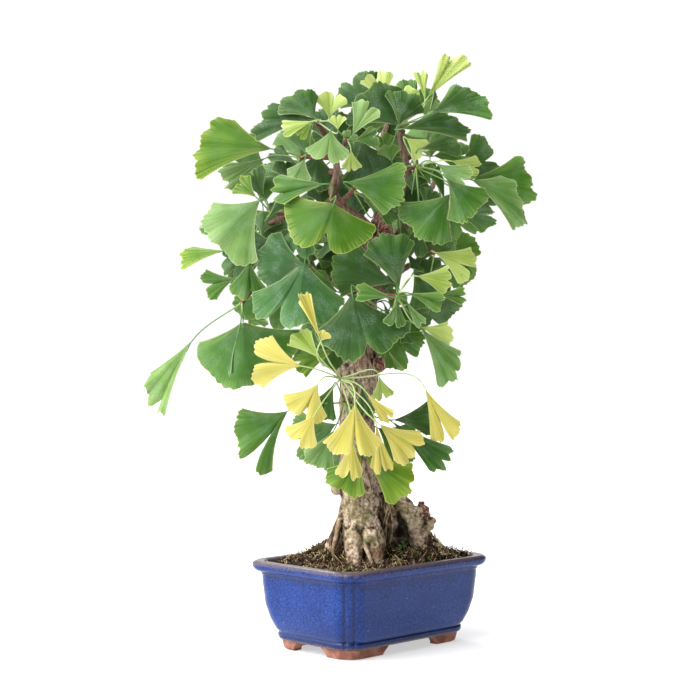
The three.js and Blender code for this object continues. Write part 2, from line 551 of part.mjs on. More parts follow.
    [420, 174, 30, 36, -72, 92, -10, -62, -12, 0, 0.3, "deep"],
  ]],
  ["inner_low", "mid", [362, 318, 8], [362, 312, 22], [
    [338, 306, 28, 42, 214, 92, -8, 62, -12, 0, 0.3, "mid"],
    [388, 302, 26, 42, -36, 92, -8, -62, -12, 0, 0.3, "mid"],
    [340, 326, 16, 40, 236, 92, -6, 10, -12, 0, 0.3, "deep"],
    [386, 326, 14, 40, -50, 92, -6, -10, -12, 0, 0.3, "mid"],
  ]],
  ["inner_left", "deep", [320, 212, -30], [314, 226, -6], [
    [302, 224, 0, 40, 160, 92, -6, 20, -12, 0, 0.3, "deep"],
    [310, 246, 2, 44, 246, 96, -6, 10, -12, 0, 0.2, "mid"],
    [328, 240, 14, 36, 284, 84, -6, -20, -12, 0, 0.3, "deep"],
  ]],
  ["inner_right", "mid", [398, 249, -18], [402, 244, 2], [
    [414, 238, 2, 38, 14, 90, -6, -20, -12, 0, 0.3, "mid"],
    [412, 262, 8, 44, -44, 96, -6, -10, -12, 0, 0.2, "deep"],
    [398, 222, 10, 39, 86, 92, -6, 10, -12, 0, 0.2, "deep"],
  ]],
  ["low_back", "mid", [357, 430, 4], [357, 424, 22], [
    [336, 424, 30, 44, 205, 92, -10, 30, -12, 0, 0.3, "mid"],
    [378, 428, 30, 44, -34, 92, -10, -30, -12, 0.1, 0.4, "mid"],
    [357, 444, 46, 44, 268, 112, -26, 0, -12, 0, 0.4, "light"],
  ]],
  ["flank_left", "mid", [292, 214, -32], [262, 226, -2], [
    [244, 220, 10, 40, 178, 92, 0, 70, -15, 0, 0.3, "mid"],
    [250, 240, 26, 40, 236, 96, 0, 60, -15, 0, 0.3, "deep"],
    [262, 202, 26, 34, 104, 90, 0, -60, -12, 0, 0.3, "mid"],
  ]],
  ["flank_right", "deep", [412, 220, 50], [440, 226, 20], [
    [456, 216, 22, 35, 6, 92, 0, -66, -15, 0, 0.3, "deep"],
    [450, 246, 24, 36, -62, 96, 0, -60, -15, 0, 0.3, "mid"],
    [444, 200, 14, 35, 92, 90, 0, 56, -12, 0, 0.3, "mid"],
  ]],
];

function leafOf([u, v, y, length, axis, spread, tilt, roll, cup, split, depth, , lean = 0], seed) {
  const [a, t, r, c] = [axis, tilt, roll, cup].map(THREE.MathUtils.degToRad);
  const front = y < 20 ? 1 : -1;
  const high = Math.max(0, (CROWN.level - v) / CROWN.high);
  const outwards = THREE.MathUtils.degToRad(CROWN.turn * fromMiddle(u) * front);
  const upwards = THREE.MathUtils.degToRad(-(CROWN.up + CROWN.upMore * high) * front);
  const facing = (x0, y0, z0) =>
    turned(x0, y0, z0)
      .applyAxisAngle(turned(1, 0, 0), upwards)
      .applyAxisAngle(new THREE.Vector3(0, 0, 1), outwards);
  const ahead = facing(Math.cos(a) * Math.cos(t), -Math.sin(t), Math.sin(a) * Math.cos(t));
  const side = facing(-Math.sin(a), 0, Math.cos(a)).applyAxisAngle(ahead, r);
  const face = new THREE.Vector3().crossVectors(ahead, side);
  const half = THREE.MathUtils.degToRad(spread / 2);
  const flare = 0.38 - 0.22 * THREE.MathUtils.clamp((spread - 80) / 80, 0, 1);
  return { base: at([u, v, y]), length, ahead, side, face, half, cup: c, split, depth, lean, flare, seed };
}

// How far out the margin lies in the direction t, from -1 at one edge to 1 at the other.
function marginOf(leaf, t) {
  const phase = 6.28 * chance(leaf.seed);
  const lobes = 0.035 * Math.sin(5.3 * t + phase) + 0.025 * Math.sin(11 * t + 2 * phase);
  const notch = leaf.depth * Math.exp(-(((t - leaf.split) / 0.1) ** 2));
  return leaf.length * (1 + lobes - 0.13 * t ** 4) * (1 + leaf.lean * t) * (1 - notch);
}

// A place on the blade: t goes across it and k out along it, from 0 at the stalk to 1 at the margin.
function placeOn(leaf, t, k) {
  const angle = t * leaf.half * (1 - leaf.flare * (1 - k));
  const sideways = leaf.side.clone().multiplyScalar(Math.sin(angle) * Math.cos(leaf.cup));
  const folded = leaf.face.clone().multiplyScalar(Math.abs(Math.sin(angle)) * Math.sin(leaf.cup));
  const ray = leaf.ahead.clone().multiplyScalar(Math.cos(angle)).add(sideways).add(folded);
  const wave = 0.035 * Math.sin(4.4 * t + 6.28 * chance(leaf.seed + 50)) - 0.09;
  const reach = marginOf(leaf, t);
  return leaf.base
    .clone()
    .addScaledVector(ray, reach * k)
    .addScaledVector(leaf.face, wave * leaf.length * k * k);
}

// One leaf as one skin: a four-sided stalk from the bud, whose end opens into the blade's two like faces.
function leafSkin(leaf, bud) {
  const big = leaf.length > 34;
  const halfway = big ? [-1, -0.36, 0.36, 1] : [];
  const spread = big ? [-1, -0.62, -0.2, 0.2, 0.62, 1] : [-1, -0.5, 0.5, 1];
  const margin = spread.filter((t) => Math.abs(t - leaf.split) > 0.2);
  margin.push(leaf.split - 0.14, leaf.split, leaf.split + 0.14);
  margin.sort((a, b) => a - b);
  const [m, n] = [halfway.length, margin.length];
  const points = [];
  for (const face of [1, -1]) {
    const onFace = (t, k) => placeOn(leaf, t, k).addScaledVector(leaf.face, (face * BLADE) / 2);
    for (const edge of [-1, 1]) points.push(stalkCorner(leaf.base, leaf.side, leaf.face, edge, face));
    for (const t of halfway) points.push(onFace(t, 0.55));
    for (const t of margin) points.push(onFace(t, 1));
  }
  const under = m + n + 2;
  const faces = [];
  const both = (a, b, c) => faces.push([a, b, c], [a + under, c + under, b + under]);
  const edge = (a, b) => faces.push([b, a, a + under], [b, a + under, b + under]);
  const nearest = m || n;
  const centre = 2 + Math.floor(nearest / 2);
  for (let i = 2; i <= nearest; i++) both(i < centre ? 0 : 1, i, i + 1);
  both(0, centre, 1);
  if (!m) for (let i = 2; i <= n; i++) edge(i, i + 1);
  let [i, j] = [0, 0];
  while (m && (i < m - 1 || j < n - 1)) {
    const [low, high] = [2 + i, 2 + m + j];
    if (i < m - 1 && (j === n - 1 || halfway[i + 1] <= margin[j + 1] + 1e-9)) {
      both(low, high, low + 1);
      i++;
    } else {
      both(low, high, high + 1);
      edge(high, high + 1);
      j++;
    }
  }
  edge(0, 2);
  if (m) edge(2, 2 + m);
  if (m) edge(1 + m + n, 1 + m);
  edge(1 + nearest, 1);
  let ring = [1, 0, under, under + 1];
  for (const corners of stalkRings(leaf, bud)) {
    const next = corners.map((p) => points.push(p) - 1);
    for (let k = 0; k < 4; k++) {
      const l = (k + 1) % 4;
      faces.push([ring[l], ring[k], next[k]], [ring[l], next[k], next[l]]);
    }
    ring = next;
  }
  faces.push([ring[0], ring[3], ring[2]], [ring[0], ring[2], ring[1]]);
  return outward(geometryOf(points, faces));
}

function stalkCorner(middle, side, face, across, above) {
  return middle
    .clone()
    .addScaledVector(side, across * PETIOLE * 0.7)
    .addScaledVector(face, above * PETIOLE * 0.7);
}

// The stalk's sections from the blade back to the bud, which it leaves heading for the blade.
function stalkRings(leaf, bud) {
  const reach = bud.distanceTo(leaf.base);
  const leaving = bud.clone().lerp(leaf.base, 0.35);
  const arriving = leaf.base.clone().addScaledVector(leaf.ahead, reach * -0.35);
  const curve = new THREE.CubicBezierCurve3(leaf.base, arriving, leaving, bud);
  const steps = reach > 34 ? 3 : 2;
  let side = leaf.side;
  return Array.from({ length: steps }, (_, s) => {
    const t = (s + 1) / steps;
    const back = curve.getTangent(t);
    side = side.clone().addScaledVector(back, -side.dot(back)).normalize();
    const face = new THREE.Vector3().crossVectors(side, back);
    const middle = curve.getPoint(t);
    return [[1, 1], [-1, 1], [-1, -1], [1, -1]].map(([u, v]) => stalkCorner(middle, side, face, u, v));
  });
}

// Turns a closed skin the right way out.
function outward(geometry) {
  const p = geometry.attributes.position;
  const index = geometry.index.array;
  let volume = 0;
  for (let i = 0; i < index.length; i += 3) {
    const [a, b, c] = [0, 1, 2].map((k) => new THREE.Vector3().fromBufferAttribute(p, index[i + k]));
    volume += a.dot(b.cross(c));
  }
  for (let i = 0; volume < 0 && i < index.length; i += 3) {
    [index[i], index[i + 1]] = [index[i + 1], index[i]];
  }
  return geometry;
}

// The bud that the stalks of a spray spring from, just clear of the end of its spur.
function budPlace(from, spur) {
  const [a, b] = [at(from), at(spur)];
  return b.addScaledVector(b.clone().sub(a).normalize(), 2.2 + GAP);
}

function spraySolid([, , from, spur, leaves], index, wood) {
  const bud = budPlace(from, spur);
  const ball = new THREE.OctahedronGeometry(2.4);
  ball.translate(bud.x, bud.y, bud.z);
  const parts = [solidOf(ball)];
  leaves.forEach((row, i) => {
    const leaf = leafOf(row, index * 12 + i);
    parts.push(solidOf(leafSkin(leaf, bud)));
  });
  return largestBody(wasm.Manifold.union(parts).subtract(wood));
}

// ---- the whole plant ------------------------------------------------------------------------------
const wood = woodSolid(0);
const roomForWood = woodSolid(GAP);
const pot = potSolid();
const group = new THREE.Group();
group.add(meshOf("pot", pot, COLOUR.glaze, 0.25));
group.add(meshOf("drain_mesh_left", screenSolid(-DRAIN.x), COLOUR.screen));
group.add(meshOf("drain_mesh_right", screenSolid(DRAIN.x), COLOUR.screen));
group.add(meshOf("soil", soilSolid(roomForWood), COLOUR.soil, 0.95));
group.add(meshOf("trunk", largestBody(wood), COLOUR.bark, 0.9));
SPRAYS.forEach((spray, index) => {
  group.add(meshOf(`leaves_${spray[0]}`, spraySolid(spray, index, roomForWood), COLOUR[spray[1]], 0.5));
});

const box = new THREE.Box3().setFromObject(group);
const middle = box.getCenter(new THREE.Vector3());
for (const mesh of group.children) mesh.geometry.translate(-middle.x, -middle.y, -box.min.z);

export default group;
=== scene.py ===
"""A ginkgo bonsai in a blue glazed pot: the finishes and the fine forms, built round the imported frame."""
import json
import math
import random
from functools import partial

import bpy
import numpy as np
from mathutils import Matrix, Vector, kdtree, noise


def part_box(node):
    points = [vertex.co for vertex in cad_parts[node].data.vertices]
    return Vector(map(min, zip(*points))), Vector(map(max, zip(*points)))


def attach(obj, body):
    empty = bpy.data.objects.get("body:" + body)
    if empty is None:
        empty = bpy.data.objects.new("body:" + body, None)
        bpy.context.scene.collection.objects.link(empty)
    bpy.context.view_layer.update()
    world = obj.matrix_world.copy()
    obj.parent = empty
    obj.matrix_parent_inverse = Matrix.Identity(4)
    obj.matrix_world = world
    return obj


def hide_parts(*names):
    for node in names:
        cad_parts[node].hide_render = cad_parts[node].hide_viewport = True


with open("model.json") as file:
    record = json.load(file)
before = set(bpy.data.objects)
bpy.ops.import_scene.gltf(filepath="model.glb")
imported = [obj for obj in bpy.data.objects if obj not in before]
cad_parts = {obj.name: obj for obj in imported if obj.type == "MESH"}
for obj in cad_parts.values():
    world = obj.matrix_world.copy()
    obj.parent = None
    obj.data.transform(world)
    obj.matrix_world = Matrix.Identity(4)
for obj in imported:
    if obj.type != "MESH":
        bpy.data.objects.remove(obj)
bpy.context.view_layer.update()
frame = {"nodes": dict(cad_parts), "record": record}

MM = 0.001  # all lengths below are in mm, from the middle of the pot's foot on the table
POT = {"length": 183, "width": 131}
DRAIN = {"radius": 7, "x": 32}
SOIL = {"edge": 71, "mound": 16, "back": 22, "wide": 75, "deep": 38, "inset": 12.6}
CORNER_STEPS, SIDE_STEPS = 31, 9  # points round each corner of the pot, and steps along each side
TREE_TURN = math.radians(-45)  # the tree's best side looks over a corner of the pot
PETIOLE = 0.62  # half thickness of a leaf stalk
GAP = 0.3

# The tree is laid out on its front elevation, drawn in perspective from this viewing point. A place is
# [u, v, y]: u to the right and v down on the elevation, and y the distance in mm behind the pot's middle.
VIEW = {"centre": 350, "focal": 1571, "distance": 1360, "x": -18, "z": 254, "width": 700}
# The front of the crown is rounded: away from its middle line it falls back by CROWN["fall"] mm at the side,
# and the leaves there turn outwards. Every leaf's face looks up a little, and more so near the top.
CROWN = {"middle": 365, "side": 170, "fall": 64, "turn": 22, "up": 5, "up_more": 9, "level": 300, "high": 180}

pot_low, pot_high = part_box("pot")
POT_MIDDLE = np.array([(pot_low.x + pot_high.x) / 2, (pot_low.y + pot_high.y) / 2, pot_low.z]) / MM
SLOT_OF = {part["node"]: part["material_slot"] for part in frame["record"]["subparts"]}


# ---- places and small sums --------------------------------------------------------------------------
def turned(x, y, z):
    """A direction given as right, back and up on the elevation, on the pot's own axes."""
    c, s = math.cos(TREE_TURN), math.sin(TREE_TURN)
    return np.array([x * c - y * s, x * s + y * c, z])


def from_middle(u):
    """How far u lies from the crown's middle line: -1 or 1 at its sides."""
    return (u - CROWN["middle"]) / CROWN["side"]


def at(place):
    """A place on the elevation, in mm from the pot's middle."""
    u, v, depth = place[:3]
    y = depth + CROWN["fall"] * from_middle(u) ** 2
    scale = (VIEW["distance"] + y) / VIEW["focal"]
    return turned(VIEW["x"] + (u - VIEW["centre"]) * scale, y, VIEW["z"] - (v - VIEW["centre"]) * scale)


def chance(n):
    """A pseudo-random number from 0 to 1 that depends only on n."""
    s = math.sin(n * 127.1 + 11.7) * 43758.5453
    return s - math.floor(s)


def unit(v):
    return v / np.linalg.norm(v)


def spun(v, axis, angle):
    """v turned about a unit axis."""
    c, s = math.cos(angle), math.sin(angle)
    return v * c + np.cross(axis, v) * s + axis * np.dot(axis, v) * (1 - c)


def smooth_line(stations, steps):
    """A smooth curve through every station, with steps to a span. A station may hold a radius as well."""
    s = np.asarray(stations, float)
    s = np.vstack([2 * s[0] - s[1], s, 2 * s[-1] - s[-2]])
    line = []
    for i in range(len(s) - 3):
        a, b, c, d = s[i : i + 4]
        for t in np.arange(steps) / steps:
            bend = (2 * a - 5 * b + 4 * c - d) * t**2 + (3 * b - a - 3 * c + d) * t**3
            line.append(0.5 * (2 * b + (c - a) * t + bend))
    return np.array(line + [s[-2]])


def bezier(a, b, c, d, steps):
    t = np.linspace(0, 1, steps)[:, None]
    return a * (1 - t) ** 3 + 3 * b * t * (1 - t) ** 2 + 3 * c * t**2 * (1 - t) + d * t**3


# ---- meshes -----------------------------------------------------------------------------------------
def loft(rings):
    """Rings of equal length joined into one closed skin, with a flat face on the first and the last."""
    n, count = len(rings[0]), len(rings)
    around = [(i, (i + 1) % n) for i in range(n)]
    faces = [
        (r * n + i, r * n + j, (r + 1) * n + j, (r + 1) * n + i) for r in range(count - 1) for i, j in around
    ]
    caps = [tuple(range(n))[::-1], tuple(range((count - 1) * n, count * n))]
    return np.concatenate(rings), faces + caps


def tube(line, radii, sides, first=(1.0, 0.0, 0.0), shape=None):
    """A tube along a line. shape gives the radius's factor from the angle and the ring's number."""
    heading = np.gradient(line, axis=0)
    side = np.array(first, float)
    angles = 2 * math.pi * np.arange(sides) / sides
    rings = []
    for i, (middle, ahead, radius) in enumerate(zip(line, heading, radii)):
        ahead = unit(ahead)
        side = unit(side - ahead * np.dot(side, ahead))
        other = np.cross(ahead, side)
        r = radius * (shape(angles, i) if shape else np.ones(sides))
        rings.append(middle + np.outer(np.cos(angles) * r, side) + np.outer(np.sin(angles) * r, other))
    return loft(rings)


def ball(middle, radii, rows=5, sides=8):
    """A closed egg shape with its poles up and down."""
    rings = []
    for a in np.linspace(0.12, math.pi - 0.12, rows):
        turn = 2 * math.pi * np.arange(sides) / sides
        level = np.full(sides, -math.cos(a))
        ring = np.stack([np.cos(turn) * math.sin(a), np.sin(turn) * math.sin(a), level], 1)
        rings.append(np.asarray(middle) + ring * radii)
    return loft(rings)


def inside_out(points, faces):
    """True if a closed skin's faces point inwards."""
    corners = np.array([points[list(face[:3])] for face in faces])
    more = [points[[face[0], *face[i : i + 2]]] for face in faces for i in range(2, len(face) - 1)]
    corners = np.concatenate([corners, np.array(more).reshape(-1, 3, 3)])
    return np.einsum("ij,ij->i", corners[:, 0], np.cross(corners[:, 1], corners[:, 2])).sum() < 0


class Skin:
    """The faces of one piece, gathered from its many small shapes, with named values at its points."""

    def __init__(self, **usual):
        self.points, self.faces, self.finishes, self.count = [], [], [], 0
        self.usual = usual
        self.values = {name: [] for name in usual}

    def add(self, shape, finish=0, **values):
        points, faces = shape
        points = np.asarray(points, float)
        if inside_out(points, faces):
            faces = [face[::-1] for face in faces]
        self.points.append(points)
        self.faces += [tuple(i + self.count for i in face) for face in faces]
        self.finishes += [finish] * len(faces) if np.isscalar(finish) else list(finish)
        for name, usual in self.usual.items():
            self.values[name].append(np.broadcast_to(values.get(name, usual), (len(points),)))
        self.count += len(points)

    def piece(self, name, finishes, crease=40):
        mesh = bpy.data.meshes.new(name)
        mesh.from_pydata(((np.concatenate(self.points) + POT_MIDDLE) * MM).tolist(), [], self.faces)
        for finish in finishes:
            mesh.materials.append(finish)
        mesh.polygons.foreach_set("material_index", self.finishes)
        for label, values in self.values.items():
            mesh.attributes.new(label, "FLOAT", "POINT").data.foreach_set("value", np.concatenate(values))
        mesh.validate()
        shade(mesh, crease)
        made = bpy.data.objects.new(name, mesh)
        bpy.context.scene.collection.objects.link(made)
        return made


def shade(mesh, crease):
    """Smooth shading, broken at edges sharper than crease degrees."""
    mesh.shade_smooth()
    mesh.set_sharp_from_angle(angle=math.radians(crease))


def applied(piece):
    """Turns the piece into what its modifiers make of it, and gives its new mesh."""
    made = piece.evaluated_get(bpy.context.evaluated_depsgraph_get())
    mesh = bpy.data.meshes.new_from_object(made)
    piece.modifiers.clear()
    piece.data = mesh
    return mesh


def fitted(piece, node, slot):
    """The piece rides on the plant and stands for its CAD node, which it hides. The slot is not used."""
    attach(piece, "root")
    if node:
        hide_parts(node)


# ---- finishes ---------------------------------------------------------------------------------------
def linear(code):
    """An sRGB hex colour as linear RGBA."""
    parts = [int(code[i : i + 2], 16) / 255 for i in (1, 3, 5)]
    return (*(c / 12.92 if c <= 0.04045 else ((c + 0.055) / 1.055) ** 2.4 for c in parts), 1.0)


def add_node(tree, kind, inputs=(), stops=(), out=None, **settings):
    """Adds a node with its settings and links, and gives its output, the first one if none is named. The
    inputs are a list in the node's own order or are named, and each is a socket to link, a hex colour or a
    plain value."""
    node = tree.nodes.new("ShaderNode" + kind)
    for name, value in settings.items():
        setattr(node, name, value)
    if isinstance(inputs, dict):
        filled = [(node.inputs[name], value) for name, value in inputs.items()]
    else:
        filled = zip([socket for socket in node.inputs if socket.enabled], inputs)
    for socket, value in filled:
        if isinstance(value, bpy.types.NodeSocket):
            tree.links.new(value, socket)
        else:
            socket.default_value = linear(value) if isinstance(value, str) else value
    for i, (place, colour) in enumerate(stops):
        ramp = node.color_ramp.elements
        stop = ramp[i] if i < len(ramp) else ramp.new(place)
        stop.position, stop.color = place, linear(colour)
    found = [socket for socket in node.outputs if socket.enabled and out in (None, socket.name)]
    return found[0] if found else None


def per(size):
    """The scale that gives a pattern features of this size in mm."""
    return 1 / (size * MM)


def new_finish(name):
    """An empty finish, the function that adds a node to it, and places on the object in metres."""
    finish = bpy.data.materials.new(name)
    finish.use_nodes = True
    finish.node_tree.nodes.clear()
    add = partial(add_node, finish.node_tree)
    return finish, add, add("TexCoord", out="Object")


VEIN_SPACING = 1.8  # mm between the drawn veins
FADE_REACH = 9.0  # how far from a blade's margin, in mm, its colour starts to turn


def leaf_blade(name, shade_side, body, sunny, margin, wax=0.0, fade=0.2):
    """Living ginkgo blade. Fine rays and veins fan out from the stalk and fork. The blade is darker by the
    stalk and yellower outwards, with a fine pale line for a margin, a dusty bloom of wax that is partly a
    painted sheen, a few brown spots and a dull gloss, and it glows where it is lit from behind."""
    finish, add, places = new_finish(name)
    labels = ("across_mm", "along", "rim_mm", "leaf")
    across, along, rim, leaf = (add("Attribute", attribute_name=label, out="Fac") for label in labels)
    # real veins lie about 0.5 mm apart at the margin; these are drawn wider apart, so that they show
    beat = add("Math", [across, 2 * math.pi / VEIN_SPACING], operation="MULTIPLY")
    half_beat = add("Math", [beat, 0.5], operation="MULTIPLY")
    waves = [add("Math", [each], operation="SINE") for each in (half_beat, beat)]
    inner, outer = (add("MapRange", [wave, -0.2, 1.0], interpolation_type="SMOOTHSTEP") for wave in waves)
    forked = add("MapRange", [along, 0.3, 0.6])
    veins = add("Mix", [forked, inner, outer], data_type="FLOAT")
    own_way = add("Math", [leaf, 60.0], operation="MULTIPLY")
    ray_place = add("CombineXYZ", [across, along, own_way])
    rays = add("TexNoise", [ray_place, 0.75, 4])
    cloud = add("TexNoise", [places, per(24), 2])
    grain = add("TexNoise", [places, per(1.1), 3])
    drift = add("Math", [leaf, 0.42, 0.17], operation="MULTIPLY_ADD")
    rayed = add("Math", [rays, 0.3, drift], operation="MULTIPLY_ADD")
    clouded = add("Math", [cloud, 0.4, rayed], operation="MULTIPLY_ADD")
    growth = add("MapRange", [along, 0.0, 1.0, -0.16, 0.12])
    aged = add("Math", [clouded, growth], operation="ADD")
    tone = add("ValToRGB", [aged], [(0.36, shade_side), (0.68, body), (1.0, sunny)])
    ribs = add("Math", [veins, 0.11], operation="MULTIPLY")
    ribbed = add("Mix", [ribs, tone, sunny], data_type="RGBA")
    # pale blue-grey patches: a bloom of wax, partly a painted sheen
    drawn = add("TexNoise", [places, per(13), 4])
    patch = add("MapRange", [drawn, 0.47, 0.62, 0.1, 1.0])
    dust_and_painted_sheen = add("MapRange", [grain, 0.46, 0.66, 0.06, wax])
    bloom = add("Math", [patch, dust_and_painted_sheen], operation="MULTIPLY")
    wax_and_painted_sheen = add("Mix", [bloom, ribbed, "#a8c2ae"], data_type="RGBA")
    near = add("MapRange", [rim, FADE_REACH, 0.8, 0.0, fade], interpolation_type="SMOOTHSTEP")
    broken = add("MapRange", [rays, 0.4, 0.6])
    turning = add("Math", [near, broken], operation="MULTIPLY")
    warmed = add("Mix", [turning, wax_and_painted_sheen, margin], data_type="RGBA")
    lip = add("MapRange", [rim, 0.8, 0.3, 0.0, 0.65])
    edged = add("Mix", [lip, warmed, margin], data_type="RGBA")
    dots = add("TexVoronoi", [places, per(14)])
    blemish = add("MapRange", [dots, 0.06, 0.03, 0.0, 0.6])
    spotted = add("Mix", [blemish, edged, "#5b4420"], data_type="RGBA")
    relief = add("Math", [veins, 0.5, rays], operation="MULTIPLY_ADD")
    bump = add("Bump", {"Height": relief, "Strength": 0.6, "Distance": 0.25 * MM})
    rough = add("MapRange", [grain, 0.3, 0.7, 0.4, 0.6])
    dull = {"Base Color": spotted, "Roughness": rough, "Normal": bump, "Specular IOR Level": 0.28}
    front = add("BsdfPrincipled", dull)
    lit = add("Mix", [0.4, spotted, "#c2dc3a"], data_type="RGBA")
    through = add("BsdfTranslucent", {"Color": lit, "Normal": bump})
    add("OutputMaterial", [add("MixShader", [0.3, front, through])])
    return finish


def stalk_skin(name, by_bud, middle, by_blade):
    """Leaf stalk: smooth skin with a soft gloss and faint streaks, changing from the bud to the blade."""
    finish, add, places = new_finish(name)
    along = add("Attribute", attribute_name="along", out="Fac")
    streak = add("TexNoise", [places, per(3), 2])
    mixed = add("Math", [streak, 0.6, along], operation="MULTIPLY_ADD")
    tone = add("ValToRGB", [mixed], [(0.25, by_bud), (0.65, middle), (1.0, by_blade)])
    add("OutputMaterial", [add("BsdfPrincipled", {"Base Color": tone, "Roughness": 0.42})])
    return finish


def old_bark():
    """Weathered bark: pitted, wrinkled grey-beige skin on the old foot, furrows above it and the redder,
    smoother bark of young wood at the top, with algae low on the trunk, rotten red-brown wood, a painted
    highlight on the ridges, and painted shade in the crevices and where the roots stand close together.
    Heights are in metres above the table."""
    finish, add, places = new_finish("old_bark")
    height = add("SeparateXYZ", [places], out="Z")
    labels = ("rot", "painted_shade", "ridge_highlight")
    rot, painted_shade, painted_highlight = (add("Attribute", attribute_name=label, out="Fac") for label in labels)
    stretch = add("Mapping", {"Vector": places, "Scale": (1, 1, 0.45)})
    long_grain = add("TexNoise", [stretch, per(3.4), 6, 0.7])
    squash = add("Mapping", {"Vector": places, "Scale": (1, 1, 1.5)})
    wrinkled = add("TexNoise", [squash, per(6.5), 8, 0.66])
    old_foot = add("MapRange", [height, 0.165, 0.13])
    furrow = add("Mix", [old_foot, long_grain, wrinkled], data_type="FLOAT")
    patch = add("TexNoise", [places, per(16), 4])
    flake = add("TexVoronoi", [stretch, per(3.2)])
    grain = add("TexNoise", [places, per(1.3), 4])
    greys = [(0.36, "#2a1b14"), (0.44, "#846a58"), (0.52, "#c0a890"), (0.66, "#f0e0cc")]
    old = add("ValToRGB", [furrow], greys)
    young = add("ValToRGB", [furrow], [(0.3, "#3a2420"), (0.5, "#6e4c42"), (0.7, "#8f6d5e")])
    jagged = add("Math", [patch, 0.09, height], operation="MULTIPLY_ADD")
    rise = add("MapRange", [jagged, 0.27, 0.34])
    barked = add("Mix", [rise, old, young], data_type="RGBA")
    brown = add("MapRange", [patch, 0.52, 0.64, 0.0, 0.5])
    patched = add("Mix", [brown, barked, "#86634c"], data_type="RGBA")
    damp = add("MapRange", [height, 0.138, 0.118])
    dry = add("MapRange", [height, 0.084, 0.094])
    belt = add("Math", [damp, dry], operation="MULTIPLY")
    mossy = add("MapRange", [grain, 0.42, 0.6, 0.05, 0.7])
    grown = add("MapRange", [patch, 0.42, 0.56])
    shady = add("Math", [belt, grown], operation="MULTIPLY")
    algae = add("Math", [shady, mossy], operation="MULTIPLY")
    green = add("Mix", [algae, patched, "#7d8a4a"], data_type="RGBA")
    specks = add("MapRange", [grain, 0.55, 0.68, 0.0, 0.5])
    dusted = add("Mix", [specks, green, "#35261d"], data_type="RGBA")
    ragged = add("Math", [furrow, 1.2, rot], operation="MULTIPLY_ADD")
    rotten = add("MapRange", [ragged, 0.85, 1.25, 0.0, 0.85])
    decayed = add("ValToRGB", [grain], [(0.35, "#2c150d"), (0.5, "#744a2e"), (0.65, "#b08a60")])
    crumbling = add("Mix", [rotten, dusted, decayed], data_type="RGBA")
    # painted highlight: paler on the ridges
    worn = add("Math", [painted_highlight, 0.55], operation="MULTIPLY")
    paler = add("Mix", [worn, crumbling, "#d3c0a6"], data_type="RGBA")
    # painted shade: darkest in the crevices and between the roots
    shaded = add("Mix", [painted_shade, paler, "#0e0806"], data_type="RGBA")
    crack = add("Math", [furrow, 1.6, grain], operation="MULTIPLY_ADD")
    scaly = add("Math", [flake, 0.5, crack], operation="MULTIPLY_ADD")
    bump = add("Bump", {"Height": scaly, "Strength": 1.0, "Distance": 1.5 * MM})
    matt = {"Base Color": shaded, "Roughness": 0.86, "Normal": bump, "Specular IOR Level": 0.25}
    add("OutputMaterial", [add("BsdfPrincipled", matt)])
    return finish


def cobalt_glaze():
    """Cobalt glaze over stoneware: deep glossy blue, finely mottled, that pools darker in the grooves and
    under the lip, breaks brown and grey where it is thin on the edges, and is flecked with a few white
    specks."""
    finish, add, places = new_finish("cobalt_glaze")
    pool, thin = (add("Attribute", attribute_name=label, out="Fac") for label in ("pool", "thin"))
    cloud = add("TexNoise", [places, per(34), 2])
    # the glaze's own mottling is under 1 mm across; it is drawn at 1.5 mm, so that it shows
    mottle = add("TexNoise", [places, per(1.5), 2])
    share = add("Math", [cloud, 0.25], operation="MULTIPLY")
    depth = add("Math", [mottle, 0.8, share], operation="MULTIPLY_ADD")
    blue = add("ValToRGB", [depth], [(0.38, "#0c2156"), (0.54, "#133174"), (0.7, "#20458a")])
    pooled = add("Mix", [pool, blue, "#1a1c34"], data_type="RGBA")
    worn = add("Math", [mottle, thin], operation="MULTIPLY")
    bare = add("MapRange", [worn, 0.16, 0.36])
    edged = add("Mix", [bare, pooled, "#544a4e"], data_type="RGBA")
    dots = add("TexVoronoi", [places, per(7)])
    size = add("SeparateColor", [add("TexVoronoi", [places, per(7)], out="Color")])
    reach = add("MapRange", [size, 0.72, 1.0, 0.0, 0.075])
    speck = add("Math", [dots, reach], operation="LESS_THAN")
    pale = add("Math", [speck, 0.7], operation="MULTIPLY")
    flecked = add("Mix", [pale, edged, "#c3cbe6"], data_type="RGBA")
    bump = add("Bump", {"Height": mottle, "Strength": 0.3, "Distance": 0.2 * MM})
    rough = add("MapRange", [mottle, 0.3, 0.7, 0.14, 0.26])
    glossy = {"Base Color": flecked, "Roughness": rough, "Normal": bump, "IOR": 1.45}
    add("OutputMaterial", [add("BsdfPrincipled", glossy | {"Specular IOR Level": 0.3})])
    return finish


def bare_clay():
    """Unglazed stoneware: matt terracotta brown with sand grains and darker kiln marks."""
    finish, add, places = new_finish("bare_clay")
    cloud = add("TexNoise", [places, per(9), 3])
    sand = add("TexNoise", [places, per(0.9), 3])
    tone = add("ValToRGB", [cloud], [(0.35, "#6a3f32"), (0.5, "#8a5646"), (0.68, "#a4705c")])
    grit = add("MapRange", [sand, 0.5, 0.66, 0.0, 0.45])
    gritty = add("Mix", [grit, tone, "#3c241c"], data_type="RGBA")
    bump = add("Bump", {"Height": sand, "Strength": 0.6, "Distance": 0.3 * MM})
    add("OutputMaterial", [add("BsdfPrincipled", {"Base Color": gritty, "Roughness": 0.82, "Normal": bump})])
    return finish


